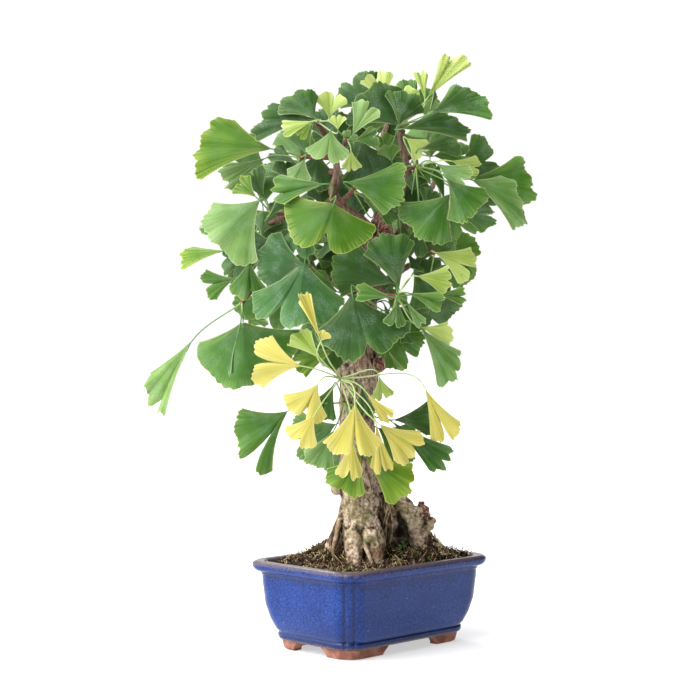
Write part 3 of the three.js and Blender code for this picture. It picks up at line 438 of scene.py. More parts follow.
def crumbly(name, dark, mid, pale, size):
    """Loose ground in crumbs of this size in mm: each has its own tone, matt, rough and without shine."""
    finish, add, places = new_finish(name)
    tint = add("SeparateColor", [add("TexVoronoi", [places, per(size)], out="Color")])
    grain = add("TexNoise", [places, per(size / 3), 4])
    mixed = add("Math", [tint, 0.5, grain], operation="MULTIPLY_ADD")
    tone = add("ValToRGB", [mixed], [(0.35, dark), (0.7, mid), (0.98, pale)])
    bump = add("Bump", {"Height": mixed, "Strength": 0.9, "Distance": 0.6 * MM})
    dry = {"Base Color": tone, "Roughness": 0.92, "Normal": bump, "Specular IOR Level": 0.0}
    add("OutputMaterial", [add("BsdfPrincipled", dry)])
    return finish


def patchy(name, size, detail, stops, roughness, strength=1.0, depth=0.0, glow=0.0):
    """A plain matt surface in cloudy patches of this size in mm, with dents of this depth in mm if it has
    any, and lit from within if it glows."""
    finish, add, places = new_finish(name)
    patch = add("TexNoise", [places, per(size), detail])
    matt = {"Base Color": add("ValToRGB", [patch], stops), "Roughness": roughness}
    if depth:
        matt["Normal"] = add("Bump", {"Height": patch, "Strength": strength, "Distance": depth * MM})
    if glow:
        matt |= {"Emission Color": "#ffffff", "Emission Strength": glow}
    add("OutputMaterial", [add("BsdfPrincipled", matt)])
    return finish


BARK, GLAZE, CLAY = old_bark(), cobalt_glaze(), bare_clay()
SOIL_FINISH = crumbly("damp_potting_soil", "#080504", "#150e0b", "#30241b", 2.2)
GRIT = crumbly("soil_crumbs", "#0f0a08", "#251a14", "#6a5643", 3.0)
MOSS = crumbly("cushion_moss", "#464a20", "#77783a", "#b2ac74", 1.6)
# Winter bud scales: dry, red-brown and papery, darker in the folds.
BUD = patchy("bud_scale", 1.5, 3, [(0.35, "#4a2419"), (0.55, "#7d4330"), (0.75, "#a97a58")], 0.7, depth=0.5)
# Cut and broken ends: weathered red-brown heartwood with crumbly dark pits.
HEARTWOOD = [(0.36, "#2a1712"), (0.5, "#64392f"), (0.6, "#8a6352"), (0.72, "#b89a82")]
DEAD_WOOD = patchy("dead_wood", 2.2, 5, HEARTWOOD, 0.9, 0.9, 0.8)
# Dry plant fibre: dead grass, and the root hairs that hang between the roots, paler in some places.
STRAW = patchy("straw", 4, 3, [(0.35, "#84704c"), (0.52, "#bfa97e"), (0.7, "#e6dab4")], 0.8)
ROOTLET = patchy("root_hair", 4, 3, [(0.35, "#22150f"), (0.52, "#4c3527"), (0.7, "#8c7054")], 0.8)
# Black polythene net: matt, faintly dusty with soil.
NET = patchy("net_plastic", 2, 3, [(0.45, "#1b1c1a"), (0.75, "#4a4038")], 0.6)
# Seamless white paper under the plant: matt, with a barely seen tooth, and lit a little from below.
PAPER = patchy("studio_paper", 5, 2, [(0.3, "#c0c0c0"), (0.7, "#c6c6c6")], 1.0, glow=0.52)
STALKS = [
    stalk_skin("grown_leaf_stalk", "#8fa458", "#668a44", "#4f7a38"),
    stalk_skin("pale_leaf_stalk", "#c3cf96", "#b4c587", "#a3bb70"),
]
# Blades by age and light: each one's tone at its shaded side, its body, its sunny side and its margin.
# wax sets the strength of the pale patches: a bloom of wax, partly a painted sheen
BLADES = {
    "deep": leaf_blade("old_shaded_blade", "#13300f", "#274f16", "#457628", "#a8bc78", wax=0.3),
    "mid": leaf_blade("grown_blade", "#204516", "#396a1c", "#608e30", "#b8c67e", wax=0.2),
    "light": leaf_blade("pale_underside_blade", "#3c6226", "#5e873c", "#8fb062", "#cad8a4", wax=0.3),
    "vivid": leaf_blade("sunlit_blade", "#2c560c", "#477610", "#84a424", "#c6ce70", fade=0.3),
    "lime": leaf_blade("young_blade", "#7a9a34", "#a0b94e", "#c8d580", "#e0e4ac", fade=0.3),
    "glaucous": leaf_blade("waxy_blade", "#1f4719", "#2f5f28", "#4f8440", "#b4cc96", wax=0.35),
    "yellow": leaf_blade("autumn_blade", "#a0983a", "#c3b94e", "#ded272", "#ecdf9e", fade=0.35),
}
TONES = list(BLADES)
LEAF_FINISHES = [*BLADES.values(), *STALKS, BUD]
STALK_FINISH, BUD_FINISH = len(TONES), len(TONES) + 2


# ---- the plant's layout ------------------------------------------------------------------------------
# The branches and roots: stations [u, v, y, radius].
TRUNK = [
    [364, 580, -4, 14], [362, 540, -5, 15.2], [359, 500, -6, 15.8], [357, 460, -4, 15], [357, 430, -2, 14.6],
    [358, 402, 0, 15.4], [360, 376, 2, 16.8], [361, 352, 3, 14], [363, 306, 3, 12], [368, 264, 0, 10.8],
    [374, 244, -2, 10.6], [381, 227, -3, 9.6], [384, 214, -2, 7],
]
LIMBS = {
    "right_leader": [
        [382, 226, -3, 6.5], [392, 207, -6, 5.2], [401, 189, -8, 4.4], [406, 171, -8, 3.8],
        [403, 151, -6, 3.1], [400, 134, -2, 2.6], [403, 121, 2, 2],
    ],
    "middle_leader": [
        [381, 220, 0, 6], [379, 192, 8, 4.6], [378, 166, 14, 3.8], [381, 146, 18, 3.1], [386, 128, 22, 2.4],
        [391, 119, 26, 1.9],
    ],
    "left_leader": [
        [378, 236, -3, 6.5], [358, 219, -15, 5], [340, 205, -25, 4.6], [333, 192, -28, 4.2],
        [337, 174, -26, 3.4], [335, 158, -22, 2.9], [329, 141, -20, 2.4], [320, 125, -22, 1.9],
    ],
    "left_low": [
        [365, 290, 2, 6], [348, 287, -4, 4.8], [332, 280, -8, 4.2], [306, 273, -10, 3.6], [282, 268, -12, 3],
        [264, 273, -14, 2.5], [253, 288, -15, 2], [248, 296, -16, 1.7],
    ],
    "right_low": [[366, 284, 0, 5], [378, 290, -18, 4], [387, 295, -32, 3.2], [391, 297, -42, 2.6]],
    "back_right": [
        [372, 254, 4, 6], [390, 240, 30, 4.6], [410, 222, 50, 3.6], [426, 200, 60, 2.6], [434, 182, 62, 2],
    ],
    "back_left": [
        [368, 264, 6, 6], [345, 247, 34, 4.6], [322, 228, 54, 3.6], [302, 206, 62, 2.6], [292, 186, 62, 2],
    ],
    "left_mid": [[344, 208, -24, 4.2], [320, 212, -30, 3.4], [292, 214, -32, 2.8], [280, 213, -34, 2.2]],
    "right_mid": [[378, 240, -4, 5], [398, 249, -18, 3.8], [420, 249, -27, 2.8], [426, 250, -30, 2.2]],
    "back_left_low": [
        [364, 300, 4, 5], [340, 286, 30, 3.8], [314, 270, 46, 3], [288, 262, 51, 2.4], [283, 260, 52, 2],
    ],
    "back_right_low": [[366, 292, 4, 5], [390, 278, 28, 3.8], [408, 266, 44, 3], [420, 262, 52, 2.2]],
    "back_middle": [[364, 332, 6, 4.6], [365, 326, 26, 3.6], [366, 320, 46, 2.4]],
}
ROOTS = {
    "front_left": [[353, 530, -15, 6], [355, 544, -23, 7], [355, 562, -26, 7.2], [354, 582, -26, 6.2]],
    "front_right": [[368, 520, -12, 9], [373, 538, -19, 9.2], [374, 560, -21, 9.2], [374, 580, -21, 8]],
    "stick": [[364, 537, -20, 3], [366, 548, -30, 2], [372, 562, -33, 1.8], [377, 578, -33, 1.7]],
    "left": [[345, 502, -4, 4], [340, 516, -7, 2.2], [336, 536, -9, 2], [333, 550, -9, 2], [331, 576, -9, 2]],
    "left_thin": [[346, 510, 0, 5], [336, 530, 2, 3.2], [329, 548, 1, 3.6], [326, 574, 0, 3.4]],
    "left_back": [[352, 512, 8, 8], [345, 532, 15, 7.4], [341, 554, 18, 8], [338, 576, 18, 8]],
    "back": [[364, 510, 6, 9], [368, 536, 18, 10], [372, 560, 26, 9], [374, 580, 30, 7]],
    "stem": [
        [366, 462, 8, 9], [384, 480, 12, 7.8], [400, 500, 14, 6.8], [409, 513, 12, 8.4], [416, 527, 10, 9.6],
        [420, 541, 8, 8.4], [422, 553, 6, 7.4], [423, 578, 4, 6.6],
    ],
    "inner": [[382, 498, 12, 6], [390, 517, 13, 6.6], [391, 536, 14, 6.6], [390, 576, 18, 6.4]],
    "outer": [[414, 517, 14, 6], [424, 532, 14, 6], [427, 549, 12, 5.8], [428, 576, 10, 5]],
}
KNOBS = [
    [386, 230, -9, 6.4], [379, 364, -2, 6.6], [344, 372, -6, 6], [336, 489, -6, 5], [354, 543, -24, 7.2],
    [371, 536, -22, 8], [419, 510, 7, 4.8], [421, 505, 5, 3.2], [427, 509, 3, 3], [426, 515, 4, 4],
    [432, 520, 5, 3.2], [429, 525, 4, 4.6],
]
# The leafy spurs and their leaves. A spur's line gives its name, the place it grows from and its tip. A
# leaf's line gives the place of the blade's foot as u, v and y, its length in mm, the way it points (0 right,
# 90 up), the angle of its fan, its tone, and then as many of these as aren't usual: tilt (how far it leans to
# the front), roll about its axis, cup (how far its sides fold up), the place and the size of the cleft in
# its margin, and how much longer the blade is on its anticlockwise side.
USUAL_LEAF = [0, 0, 0, 0, 0.2, 0]
SPRAY_TABLE = """
left_crown 335 158 -22 304 157 -25
  272 149 -44 64 172 64 vivid 10 0 -10 .55 .12 .17
  266 158 -28 43 205 40 light 0 0 0 .3 .15
  305 159 -44 20 248 84 light
  296 163 -12 26 150 56 deep 0 20
  318 152 -10 34 262 100 deep
left_top 329 141 -20 318 124 -26
  315 120 -46 47 174 54 deep 5 0 -12 .1 .05 .22
  316 119 -52 32 128 88 deep 5 10 -12 .1 .05 .12
  313 121 -66 27 194 38 lime 0 0 0 .2 .3
  313 122 -58 17 226 44 vivid 0 0 0 0 .3
  329 118 -32 23 84 96 lime 10 0 15 -.2 .35
  338 130 -40 14 96 84 lime
middle_top 335 158 -22 346 142 -30
  331 131 -56 27 262 104 light 5 0 -10 0 .3
  352 136 -50 32 62 58 light 10 0 10 -.1 .35
  353 141 -26 22 14 62 mid
  351 150 -38 18 272 66 lime
  362 142 -8 42 290 100 deep
top 403 132 -2 400 128 -6
  398 126 -24 42 126 108 deep 8 0 -10 .05 .06 .1
  398 126 -34 32 70 84 deep 8 10 -10 0 .05
  402 129 -44 50 12 42 deep 0 12 0 -.3 .05 -.3
  385 104 14 31 106 68 lime 5 0 10 0 .4
  403 108 6 22 84 96 lime 0 0 10 .1 .4
  425 100 -12 28 95 30 lime 0 0 0 0 .1
  427 99 -18 53 55 32 lime 0 10 5 .2 .15 -.16
  429 112 -26 22 66 60 glaucous 0 76 0 0 .1
  431 113 -58 44 22 62 deep 10 10 10 .2 .05 -.3
right_crown 406 171 -8 414 167 -16
  420 149 -34 37 14 46 deep 0 10
  406 138 -28 21 -38 76 lime
  437 164 -60 30 -33 66 light 5 10
  451 161 -44 26 -12 55 lime
  474 177 -52 55 -5 66 mid 0 0 0 -.7 .12 -.08
  472 180 -66 48 -19 64 light 0 0 0 .1 .06 -.34
  450 194 -54 47 231 88 mid 8 0 -12 -.2 .06 -.05
  447 179 -66 38 -50 84 mid 5 0 -10 .1 .08
  418 222 -32 30 -98 60 deep
  410 168 16 38 262 90 deep
centre 333 192 -28 331 199 -40
  334 203 -78 43 249 176 vivid 6 0 -12 .08 .45 -.04
  326 184 -72 45 184 44 mid 0 10 0 .2
centre_right 340 205 -25 351 192 -40
  346 182 -58 49 -8 66 mid 0 0 -10 .1 .05 .08
  366 198 -42 32 -26 56 deep
left_shoulder 292 214 -32 274 213 -38
  260 200 -68 54 223 92 light 5 0 -8 .1 .05 .05
  264 199 -16 31 118 60 deep
  256 197 -54 23 140 66 vivid 0 0 10 0 .3
  266 220 -52 26 46 44 glaucous 0 68 0 0 .1
  302 212 -46 38 262 58 glaucous 0 0 0 0 .15
left_side 264 273 -14 256 258 -22
  224 251 -42 42 184 44 vivid 0 30 0 .1 .05
  236 278 -28 32 194 62 mid 0 -20 0 0 .3
  250 260 -36 34 264 78 mid 0 0 -8 .2 .3
  284 246 -26 40 182 66 deep
left_hanging 252 290 -15 244 300 -18
  243 322 -50 55 276 160 mid 8 0 -12 .25 .12 -.04
  237 337 -72 32 255 32 glaucous 0 78 0 0 .1
  192 341 -30 70 231 42 light 0 10 8 .3 .15 .12
  250 320 -30 16 0 60 light 0 20
centre_left 306 273 -10 310 266 -26
  305 261 -66 56 263 112 glaucous 5 0 -12 -.4 .3 -.12
  304 264 -56 40 173 96 glaucous 5 0 -10 0 .06
  338 292 -24 26 160 80 mid
centre_low 364 297 -2 364 297 -24
  352 293 -74 54 280 114 deep 5 0 -12 .12 .22 .08
  350 268 -22 30 120 90 deep
  335 350 -24 37 198 52 vivid
right_low 390 296 -40 395 296 -48
  395 284 -44 55 160 66 deep 0 0 -10 0 .05 -.08
  399 289 -52 48 102 66 deep 0 0 -10 0 .05
  392 297 -86 29 170 38 mid 0 0 -8 0 .1
  398 300 -82 22 262 60 mid 0 0 -8
  416 276 -64 30 -8 54 lime 0 10 0 0 .1
  436 294 -50 26 -4 40 mid
  408 293 -70 30 -16 40 mid
  407 302 -56 23 -60 36 light 0 40 0 0 .1
  421 327 -44 28 -16 56 lime 5 0 0 0 .05 -.1
  421 328 -47 49 -52 46 light 5 0 0 0 .05 -.16
  388 350 -40 20 -62 36 mid 0 76 0 0 .1
  420 262 -20 36 60 80 deep
right_side 420 248 -28 432 251 -34
  434 252 -50 38 -20 60 lime 0 0 -10 -.1 .4
yellow 354 380 -4 342 378 -24
  301 366 -72 41 172 78 yellow 10 0 -8 .02 .48
  321 359 -60 31 132 56 lime 0 -20 20 0 .1 .1
  321 342 -90 43 110 18 yellow 4 20 10 0 .1
  321 341 -88 9 60 90 yellow 0 0 0 0 .1
  318 384 -64 33 240 92 yellow 0 0 -10 .1 .42
  315 414 -72 29 238 72 yellow
  355 403 -88 44 268 78 yellow 5 0 -10 .05 .5
  379 424 -72 39 -38 60 yellow 0 0 -10 .2 .15
  376 424 -64 40 -82 32 yellow
  352 436 -66 35 266 44 yellow
  367 393 -60 29 -52 42 yellow 0 40
  379 376 -46 20 282 66 lime 0 0 0 0 .3
  425 388 -52 48 -68 42 yellow 0 30 -15 0 .5
lower 352 400 -4 345 402 -24
  288 411 -52 53 217 80 mid 5 -15 0 .45 .62 .22
  334 430 -46 35 242 58 light 0 0 0 0 .05
  362 452 -52 38 240 70 vivid 0 0 0 0 .1
  364 456 -54 47 -36 58 vivid 0 0 -8 .2 .05 -.05
  391 421 -36 60 -38 30 deep 0 10 10 0 .1
  393 420 -26 38 2 54 deep 0 0 0 .1 .15
  334 384 -32 32 245 58 deep
  362 386 -32 26 275 52 deep
back_top 387 126 23 391 119 28
  372 110 40 38 130 92 deep -20 0 -15
  408 114 52 38 62 92 mid -35 0 -15 .1 .3
  398 130 62 44 270 112 mid -40 0 -15 0 .3
  352 136 50 42 170 98 deep -25 0 -15
back_left_high 295 192 62 291 184 64
  268 172 72 44 160 98 mid -20 0 -15 .1 .3
  300 164 86 42 80 102 light -35 0 -15
  280 210 84 44 240 112 deep -25 0 -15 -.1 .4
  318 196 102 44 300 102 mid -30 0 -15 0 .3
back_right_high 432 188 62 435 180 64
  456 170 70 42 14 98 deep -20 0 -15 0 .3
  430 158 96 44 95 102 mid -35 0 -15 .1
  446 206 88 44 -60 112 mid -25 0 -15 0 .4
  412 196 102 44 250 102 light -30 0 -15 0 .3
  466 196 44 30 -30 90 deep -10 30 -15
back_left_low 288 262 50 280 260 54
  266 256 60 42 190 102 deep -15 0 -15 0 .3
  276 290 74 46 255 114 mid -25 0 -15 .1 .3
  304 250 66 42 70 102 light -30 0 -15
back_right_low 416 262 50 424 262 54
  438 258 60 40 -5 102 mid -15 0 -15 0 .3
  424 290 74 44 -80 114 deep -25 0 -15 0 .3
  404 252 70 42 104 102 mid -30 0 -15 .1
back_low 366 320 44 366 318 52
  366 330 72 44 268 122 mid -20 0 -15 0 .4
  340 312 64 42 205 102 deep -15 0 -15
  392 312 60 38 -40 102 deep -15 0 -15
inner_left_high 337 174 -26 322 170 4
  312 158 22 38 128 96 mid -10 -60 -12 0 .3
  336 152 2 44 90 96 deep -6 20 -12
  342 174 10 40 268 100 deep -6 20 -12
  296 176 2 38 172 92 mid -6 20 -12 0 .3
  316 186 24 38 235 96 deep -10 62 -12 .1 .3
inner_right_high 405 160 -7 416 154 20
  426 142 32 38 58 96 light -10 60 -12 0 .3
  400 140 20 38 122 90 deep -6 10 -12
  434 156 8 38 10 92 mid -6 -20 -12 0 .3
  420 174 30 36 -72 92 deep -10 -62 -12 0 .3
inner_low 362 318 8 362 312 22
  338 306 28 42 214 92 mid -8 62 -12 0 .3
  388 302 26 42 -36 92 mid -8 -62 -12 0 .3
  340 326 16 40 236 92 deep -6 10 -12 0 .3
  386 326 14 40 -50 92 mid -6 -10 -12 0 .3
inner_left 320 212 -30 314 226 -6
  302 224 0 40 160 92 deep -6 20 -12 0 .3
  310 246 2 44 246 96 mid -6 10 -12
  328 240 14 36 284 84 deep -6 -20 -12 0 .3
inner_right 398 249 -18 402 244 2
  414 238 2 38 14 90 mid -6 -20 -12 0 .3
  412 262 8 44 -44 96 deep -6 -10 -12
  398 222 10 39 86 92 deep -6 10 -12
low_back 357 430 4 357 424 22
  336 424 30 44 205 92 mid -10 30 -12 0 .3
  378 428 30 44 -34 92 mid -10 -30 -12 .1 .4
  357 444 46 44 268 112 light -26 0 -12 0 .4
flank_left 292 214 -32 262 226 -2
  244 220 10 40 178 92 mid 0 70 -15 0 .3
  250 240 26 40 236 96 deep 0 60 -15 0 .3
  262 202 26 34 104 90 mid 0 -60 -12 0 .3
flank_right 412 220 50 440 226 20
  456 216 22 35 6 92 deep 0 -66 -15 0 .3
  450 246 24 36 -62 96 mid 0 -60 -15 0 .3
  444 200 14 35 92 90 mid 0 56 -12 0 .3
"""
# Young leaves inside the crown, in the same form. Each grows from the nearest bud.
YOUNG_TABLE = """
  352 162 4 23 88 100 deep 0 0 -8
  286 180 -12 20 95 100 deep 0 0 -8
  303 182 -10 19 80 100 mid 0 0 -8
  322 206 0 20 95 100 deep 0 0 -8
  356 214 4 21 88 110 deep 0 0 -8
  374 214 -16 18 80 90 mid 0 0 -8
  310 264 -8 20 80 110 deep 0 0 -8
  322 270 -10 20 70 100 mid 0 0 -8
  376 302 -10 20 70 110 deep 0 0 -8
  390 308 -14 18 60 100 mid 0 0 -8
  428 278 -14 20 90 100 deep 0 0 -8
  346 288 -14 20 95 100 mid 0 0 -8
  262 234 -14 20 80 100 deep 0 0 -8
  392 162 -16 17 100 90 mid 0 0 -8
  412 192 -16 20 80 100 deep 0 0 -8
  372 136 -20 17 90 90 light 0 0 -8
  386 152 -12 18 105 100 mid 0 0 -8
  430 182 -20 18 110 90 mid 0 0 -8
  344 146 -26 15 60 80 light 0 0 -8 0 .3
  424 206 -20 18 60 90 deep 0 0 -8
  352 170 24 26 70 100 mid 0 66 -10
  398 176 22 26 110 100 deep 0 -64 -10
  346 214 26 28 250 100 deep 0 70 -10
  402 222 20 26 290 100 mid 0 -68 -10
  350 262 22 26 250 100 mid 0 66 -10
  392 262 24 26 280 100 deep 0 -66 -10
  352 300 20 24 240 100 deep 0 66 -10
  384 304 16 26 300 100 mid 0 -66 -10
  362 146 24 24 90 100 deep 0 60 -10
  396 140 30 24 90 100 mid 0 -60 -10
  336 236 -18 24 220 100 deep 0 68 -10
  404 250 -16 24 320 100 deep 0 -68 -10
"""


def leaf_row(words):
    """A leaf's line as its tone and 12 numbers."""
    numbers = [float(word) for word in words[:6] + words[7:]]
    return [words[6], *numbers, *USUAL_LEAF[len(numbers) - 6 :]]


def read_sprays(table):
    """The table as one [name, spur's start, spur's tip, leaves] for each spur."""
    sprays = []
    for words in map(str.split, table.strip().splitlines()):
        if words[0].isidentifier():
            places = [float(word) for word in words[1:]]
            sprays.append([words[0], places[:3], places[3:], []])
        else:
            sprays[-1][3].append(leaf_row(words))
    return sprays


SPRAYS = read_sprays(SPRAY_TABLE)
YOUNG = [leaf_row(line.split()) for line in YOUNG_TABLE.strip().splitlines()]


# ---- leaves ------------------------------------------------------------------------------------------
FINE_FROM = 34  # longer leaves get the finer mesh
STALK_STEPS, STALK_SIDES = 14, 7
RIB_STEPS = (0.05, 0.1, 0.15)  # how far up the blade the stalk runs on, in shares of the blade
SEEDS_A_SPRAY = 12
FIRST_YOUNG_SEED = 400


def leaf_of(row, seed):
    """A leaf's place, directions, shape and tone, from its line in the tables."""
    tone, u, v, y, length, axis, spread, tilt, roll, cup, split, depth, lean = row
    front = 1 if y < 20 else -1
    high = max(0, (CROWN["level"] - v) / CROWN["high"])
    outwards = math.radians(CROWN["turn"] * from_middle(u) * front)
    upwards = math.radians(-(CROWN["up"] + CROWN["up_more"] * high) * front)

    def facing(*flat):
        return spun(spun(turned(*flat), turned(1, 0, 0), upwards), np.array([0, 0, 1]), outwards)

    a, t = math.radians(axis), math.radians(tilt)
    ahead = facing(math.cos(a) * math.cos(t), -math.sin(t), math.sin(a) * math.cos(t))
    side = spun(facing(-math.sin(a), 0, math.cos(a)), ahead, math.radians(roll))
    wide = min(max((spread - 80) / 80, 0), 1)
    return {
        "base": at([u, v, y]), "length": length, "ahead": ahead, "side": side, "face": np.cross(ahead, side),
        "half": math.radians(spread / 2), "cup": math.radians(cup), "split": split, "depth": depth,
        "lean": lean, "flare": 0.38 - 0.22 * wide, "seed": seed, "tone": TONES.index(tone),
    }


def margin_of(leaf, t):
    """How far out the margin lies in the direction t, from -1 to 1: lobed, cleft and finely scalloped."""
    phase = 6.28 * chance(leaf["seed"])
    lobes = 0.035 * np.sin(5.3 * t + phase) + 0.025 * np.sin(11 * t + 2 * phase)
    off = np.abs(t - leaf["split"])
    notch = leaf["depth"] * np.exp(-((off / 0.1) ** 1.4))
    count = (12 + 6 * chance(leaf["seed"] + 20)) * min(leaf["half"] / 0.6, 1.4)
    uneven = 0.65 + 0.5 * np.sin(5 * t + phase)
    beat = np.sin(count * (t + 0.05 * np.sin(6 * t + phase)) + 3 * phase)
    scallop = 0.038 * uneven * (1 - np.abs(beat)) ** 1.2
    nick = 0.01 * np.sin(53 * t + 5 * phase) * np.sin(3.1 * t + phase)
    second = leaf["split"] + (0.62 if leaf["split"] < 0.1 else -0.58) + 0.2 * chance(leaf["seed"] + 30)
    tear = 0.07 * chance(leaf["seed"] + 40) ** 2 * np.exp(-(((t - second) / 0.045) ** 2))
    outline = (1.015 + lobes - 0.13 * t**4 - scallop + nick) * (1 + leaf["lean"] * t)
    return leaf["length"] * outline * (1 - notch) * (1 - tear)


def blade_points(leaf, t, k):
    """Places on the blade: t goes across it, and k out along it from the stalk to the margin."""
    angle = t * leaf["half"] * (1 - leaf["flare"] * (1 - k))
    across, up = np.sin(angle) * math.cos(leaf["cup"]), np.abs(np.sin(angle)) * math.sin(leaf["cup"])
    wave = 0.035 * np.sin(4.4 * t + 6.28 * chance(leaf["seed"] + 50)) - 0.09
    curl = 0.022 * np.sin(10.5 * t + 6.28 * chance(leaf["seed"] + 60)) * k
    crease = -0.03 * np.exp(-(((t - leaf["split"]) / 0.12) ** 2)) * (1 - k)
    lift = (wave + curl + crease) * leaf["length"] * k**2
    reach = margin_of(leaf, t) * k
    place = leaf["base"] + np.multiply.outer(np.cos(angle) * reach, leaf["ahead"])
    place = place + np.multiply.outer(across * reach, leaf["side"])
    return place + np.multiply.outer(up * reach + lift, leaf["face"])


def blade_skin(leaf):
    """The blade as a closed skin of two faces, thick at the stalk and thin at the margin."""
    t = np.linspace(-1, 1, 89 if leaf["length"] > FINE_FROM else 49)
    cleft = leaf["split"] + np.array([-0.1, -0.05, -0.02, 0, 0.02, 0.05, 0.1])
    t = np.unique(np.concatenate([t[np.abs(t - leaf["split"]) > 0.12], cleft[np.abs(cleft) < 0.98]]))
    k = np.array([0.03, 0.16, 0.32, 0.48, 0.62, 0.74, 0.84, 0.92, 0.97, 1])
    t, k = np.meshgrid(t, k)
    middle = blade_points(leaf, t, k)
    rows, columns = t.shape
    slope = np.cross(np.gradient(middle, axis=0), np.gradient(middle, axis=1))
    normal = slope / (np.linalg.norm(slope, axis=2, keepdims=True) + 1e-9)
    thick = (0.34 - 0.2 * k)[..., None]
    points = np.concatenate([middle + normal * thick, middle - normal * thick]).reshape(-1, 3)
    cell = lambda r, c: r * columns + c
    faces = []
    for r in range(rows - 1):
        for c in range(columns - 1):
            corners = (cell(r, c), cell(r, c + 1), cell(r + 1, c + 1), cell(r + 1, c))
            faces += [corners, tuple(i + rows * columns for i in corners[::-1])]
    border = [cell(0, c) for c in range(columns)] + [cell(r, columns - 1) for r in range(1, rows)]
    border += [cell(rows - 1, c) for c in range(columns - 2, -1, -1)]
    border += [cell(r, 0) for r in range(rows - 2, 0, -1)]
    for a, b in zip(border, border[1:] + border[:1]):
        faces.append((b, a, a + rows * columns, b + rows * columns))
    flat = middle.reshape(-1, 3)
    rim = flat[[i for i in border if i >= columns]]
    away = np.linalg.norm(flat[:, None] - rim[None], axis=2).min(axis=1)
    values = {"across_mm": (t * leaf["half"] * leaf["length"]).ravel(), "along": k.ravel(), "rim_mm": away}
    return (points, faces), {name: np.tile(value, 2) for name, value in values.items()}


def leaf_stalk(leaf, bud):
    """The stalk, from inside the bud to a little way up the blade, where it thins out as the first ribs."""
    reach = np.linalg.norm(bud - leaf["base"])
    arriving = leaf["base"] - leaf["ahead"] * reach * 0.35
    leaving = bud + (leaf["base"] - bud) * 0.35
    line = bezier(bud, leaving, arriving, leaf["base"], STALK_STEPS)
    into = [leaf["base"] + leaf["ahead"] * leaf["length"] * k for k in RIB_STEPS]
    radii = np.linspace(PETIOLE * 1.15, PETIOLE * 0.9, STALK_STEPS)
    radii = np.concatenate([radii, PETIOLE * np.array([0.8, 0.5, 0.22])])
    radii[:3] *= [1.6, 1.3, 1.1]
    return tube(np.vstack([line, into]), radii, STALK_SIDES, leaf["side"])


def bud_of(spray):
    """The middle of the bud at the end of a spur, and the way the spur points."""
    start, tip = at(spray[1]), at(spray[2])
    heading = unit(tip - start)
    return tip + heading * (2.2 + GAP), heading


def leaf_skin(along=0.0):
    """A skin with the values that the blades' and stalks' finishes read."""
    return Skin(across_mm=0.0, along=along, rim_mm=FADE_REACH, leaf=0.5)


def add_leaf(skin, leaf, bud):
    """Adds a leaf's blade, and its stalk from the bud."""
    own = 0.15 + 0.5 * chance(leaf["seed"] + 70)
    shape, values = blade_skin(leaf)
    skin.add(shape, leaf["tone"], leaf=own, **values)
    pale = TONES[leaf["tone"]] in ("yellow", "lime")
    stalk = leaf_stalk(leaf, bud)
    along = np.linspace(0, 1, STALK_STEPS + len(RIB_STEPS))
    skin.add(stalk, STALK_FINISH + pale, leaf=own, along=np.repeat(along, STALK_SIDES))


def make_sprays():
    """A spray to each spur: its leaves and the scaly bud that they grow from."""
    for index, spray in enumerate(SPRAYS):
        name, leaves = spray[0], spray[3]
        bud, heading = bud_of(spray)
        skin = leaf_skin()
        for i, row in enumerate(leaves):
            add_leaf(skin, leaf_of(row, index * SEEDS_A_SPRAY + i), bud)
        skin.add(ball(bud, [2.0, 2.0, 2.3], 6, 9), BUD_FINISH)
        side = unit(np.cross(heading, [0.3, 0.2, 1.0]))
        for i in range(9):
            turn = spun(side, heading, 2.4 * i)
            skin.add(ball(bud + turn * 1.5 + heading * (i % 3 - 1.4), [0.9, 0.9, 1.5], 4, 6), BUD_FINISH)
        node = "leaves_" + name
        fitted(skin.piece("spray_" + name, LEAF_FINISHES, 60), node, SLOT_OF[node])


def make_young_leaves():
    """The young leaves, which have no solid of their own and grow from the nearest buds."""
    buds = [bud_of(spray)[0] for spray in SPRAYS]
    skin = leaf_skin()
    for i, row in enumerate(YOUNG):
        leaf = leaf_of(row, FIRST_YOUNG_SEED + i)
        add_leaf(skin, leaf, min(buds, key=lambda bud: np.linalg.norm(bud - leaf["base"])))
    fitted(skin.piece("young_leaves", LEAF_FINISHES, 60), None, "leaf_green")


make_sprays()
make_young_leaves()


# ---- wood --------------------------------------------------------------------------------------------
SCARS = [[385, 229, -13, 5.5, 1.8], [379, 364, -9, 5, 1.4]]  # u, v, y, radius, depth
STUBS = KNOBS[7:11]  # the broken stubs on the right-hand root
STUB_REACH = 1.15  # how far a stub's broken wood reaches, in its radii
BARE_FROM = 0.12  # from this share on, a face is bare dead wood
WOOD_CELL, WOOD_ROUNDS = 1.04, 3  # the mesh that joins the wood's shapes: its size in mm, its smoothing
# Where the wood is rotten, and where painted shade darkens it between the roots: u, v, y, radius.
ROTTEN = [
    [378, 552, -24, 11], [368, 556, -26, 7], [423, 553, 2, 9], [424, 540, 4, 6], [391, 514, 8, 8],
    [337, 530, -10, 9], [334, 546, -10, 8],
]
PAINTED_SHADE_SPOTS = [
    [341, 546, 10, 14], [343, 530, 10, 9], [392, 550, 6, 17], [384, 522, 8, 9], [399, 532, 10, 13],
    [404, 546, 6, 14], [386, 500, 12, 8], [396, 518, 14, 9],
]
# Crumbled wood and earth that closes the space between the roots: u, v, y, radius.
FILLING = [
    [385, 505, 16, 6.5], [384, 520, 18, 8], [386, 538, 18, 9], [396, 520, 20, 7.5], [398, 536, 18, 9],
    [404, 548, 16, 9], [392, 552, 14, 9], [380, 500, 14, 5], [379, 488, 12, 4.5], [379, 511, 12, 6],
]


def branch_line(stations):
    """The smooth line through a branch's stations, with its radius at each point."""
    return smooth_line([[*at(s), s[3]] for s in stations], 6)


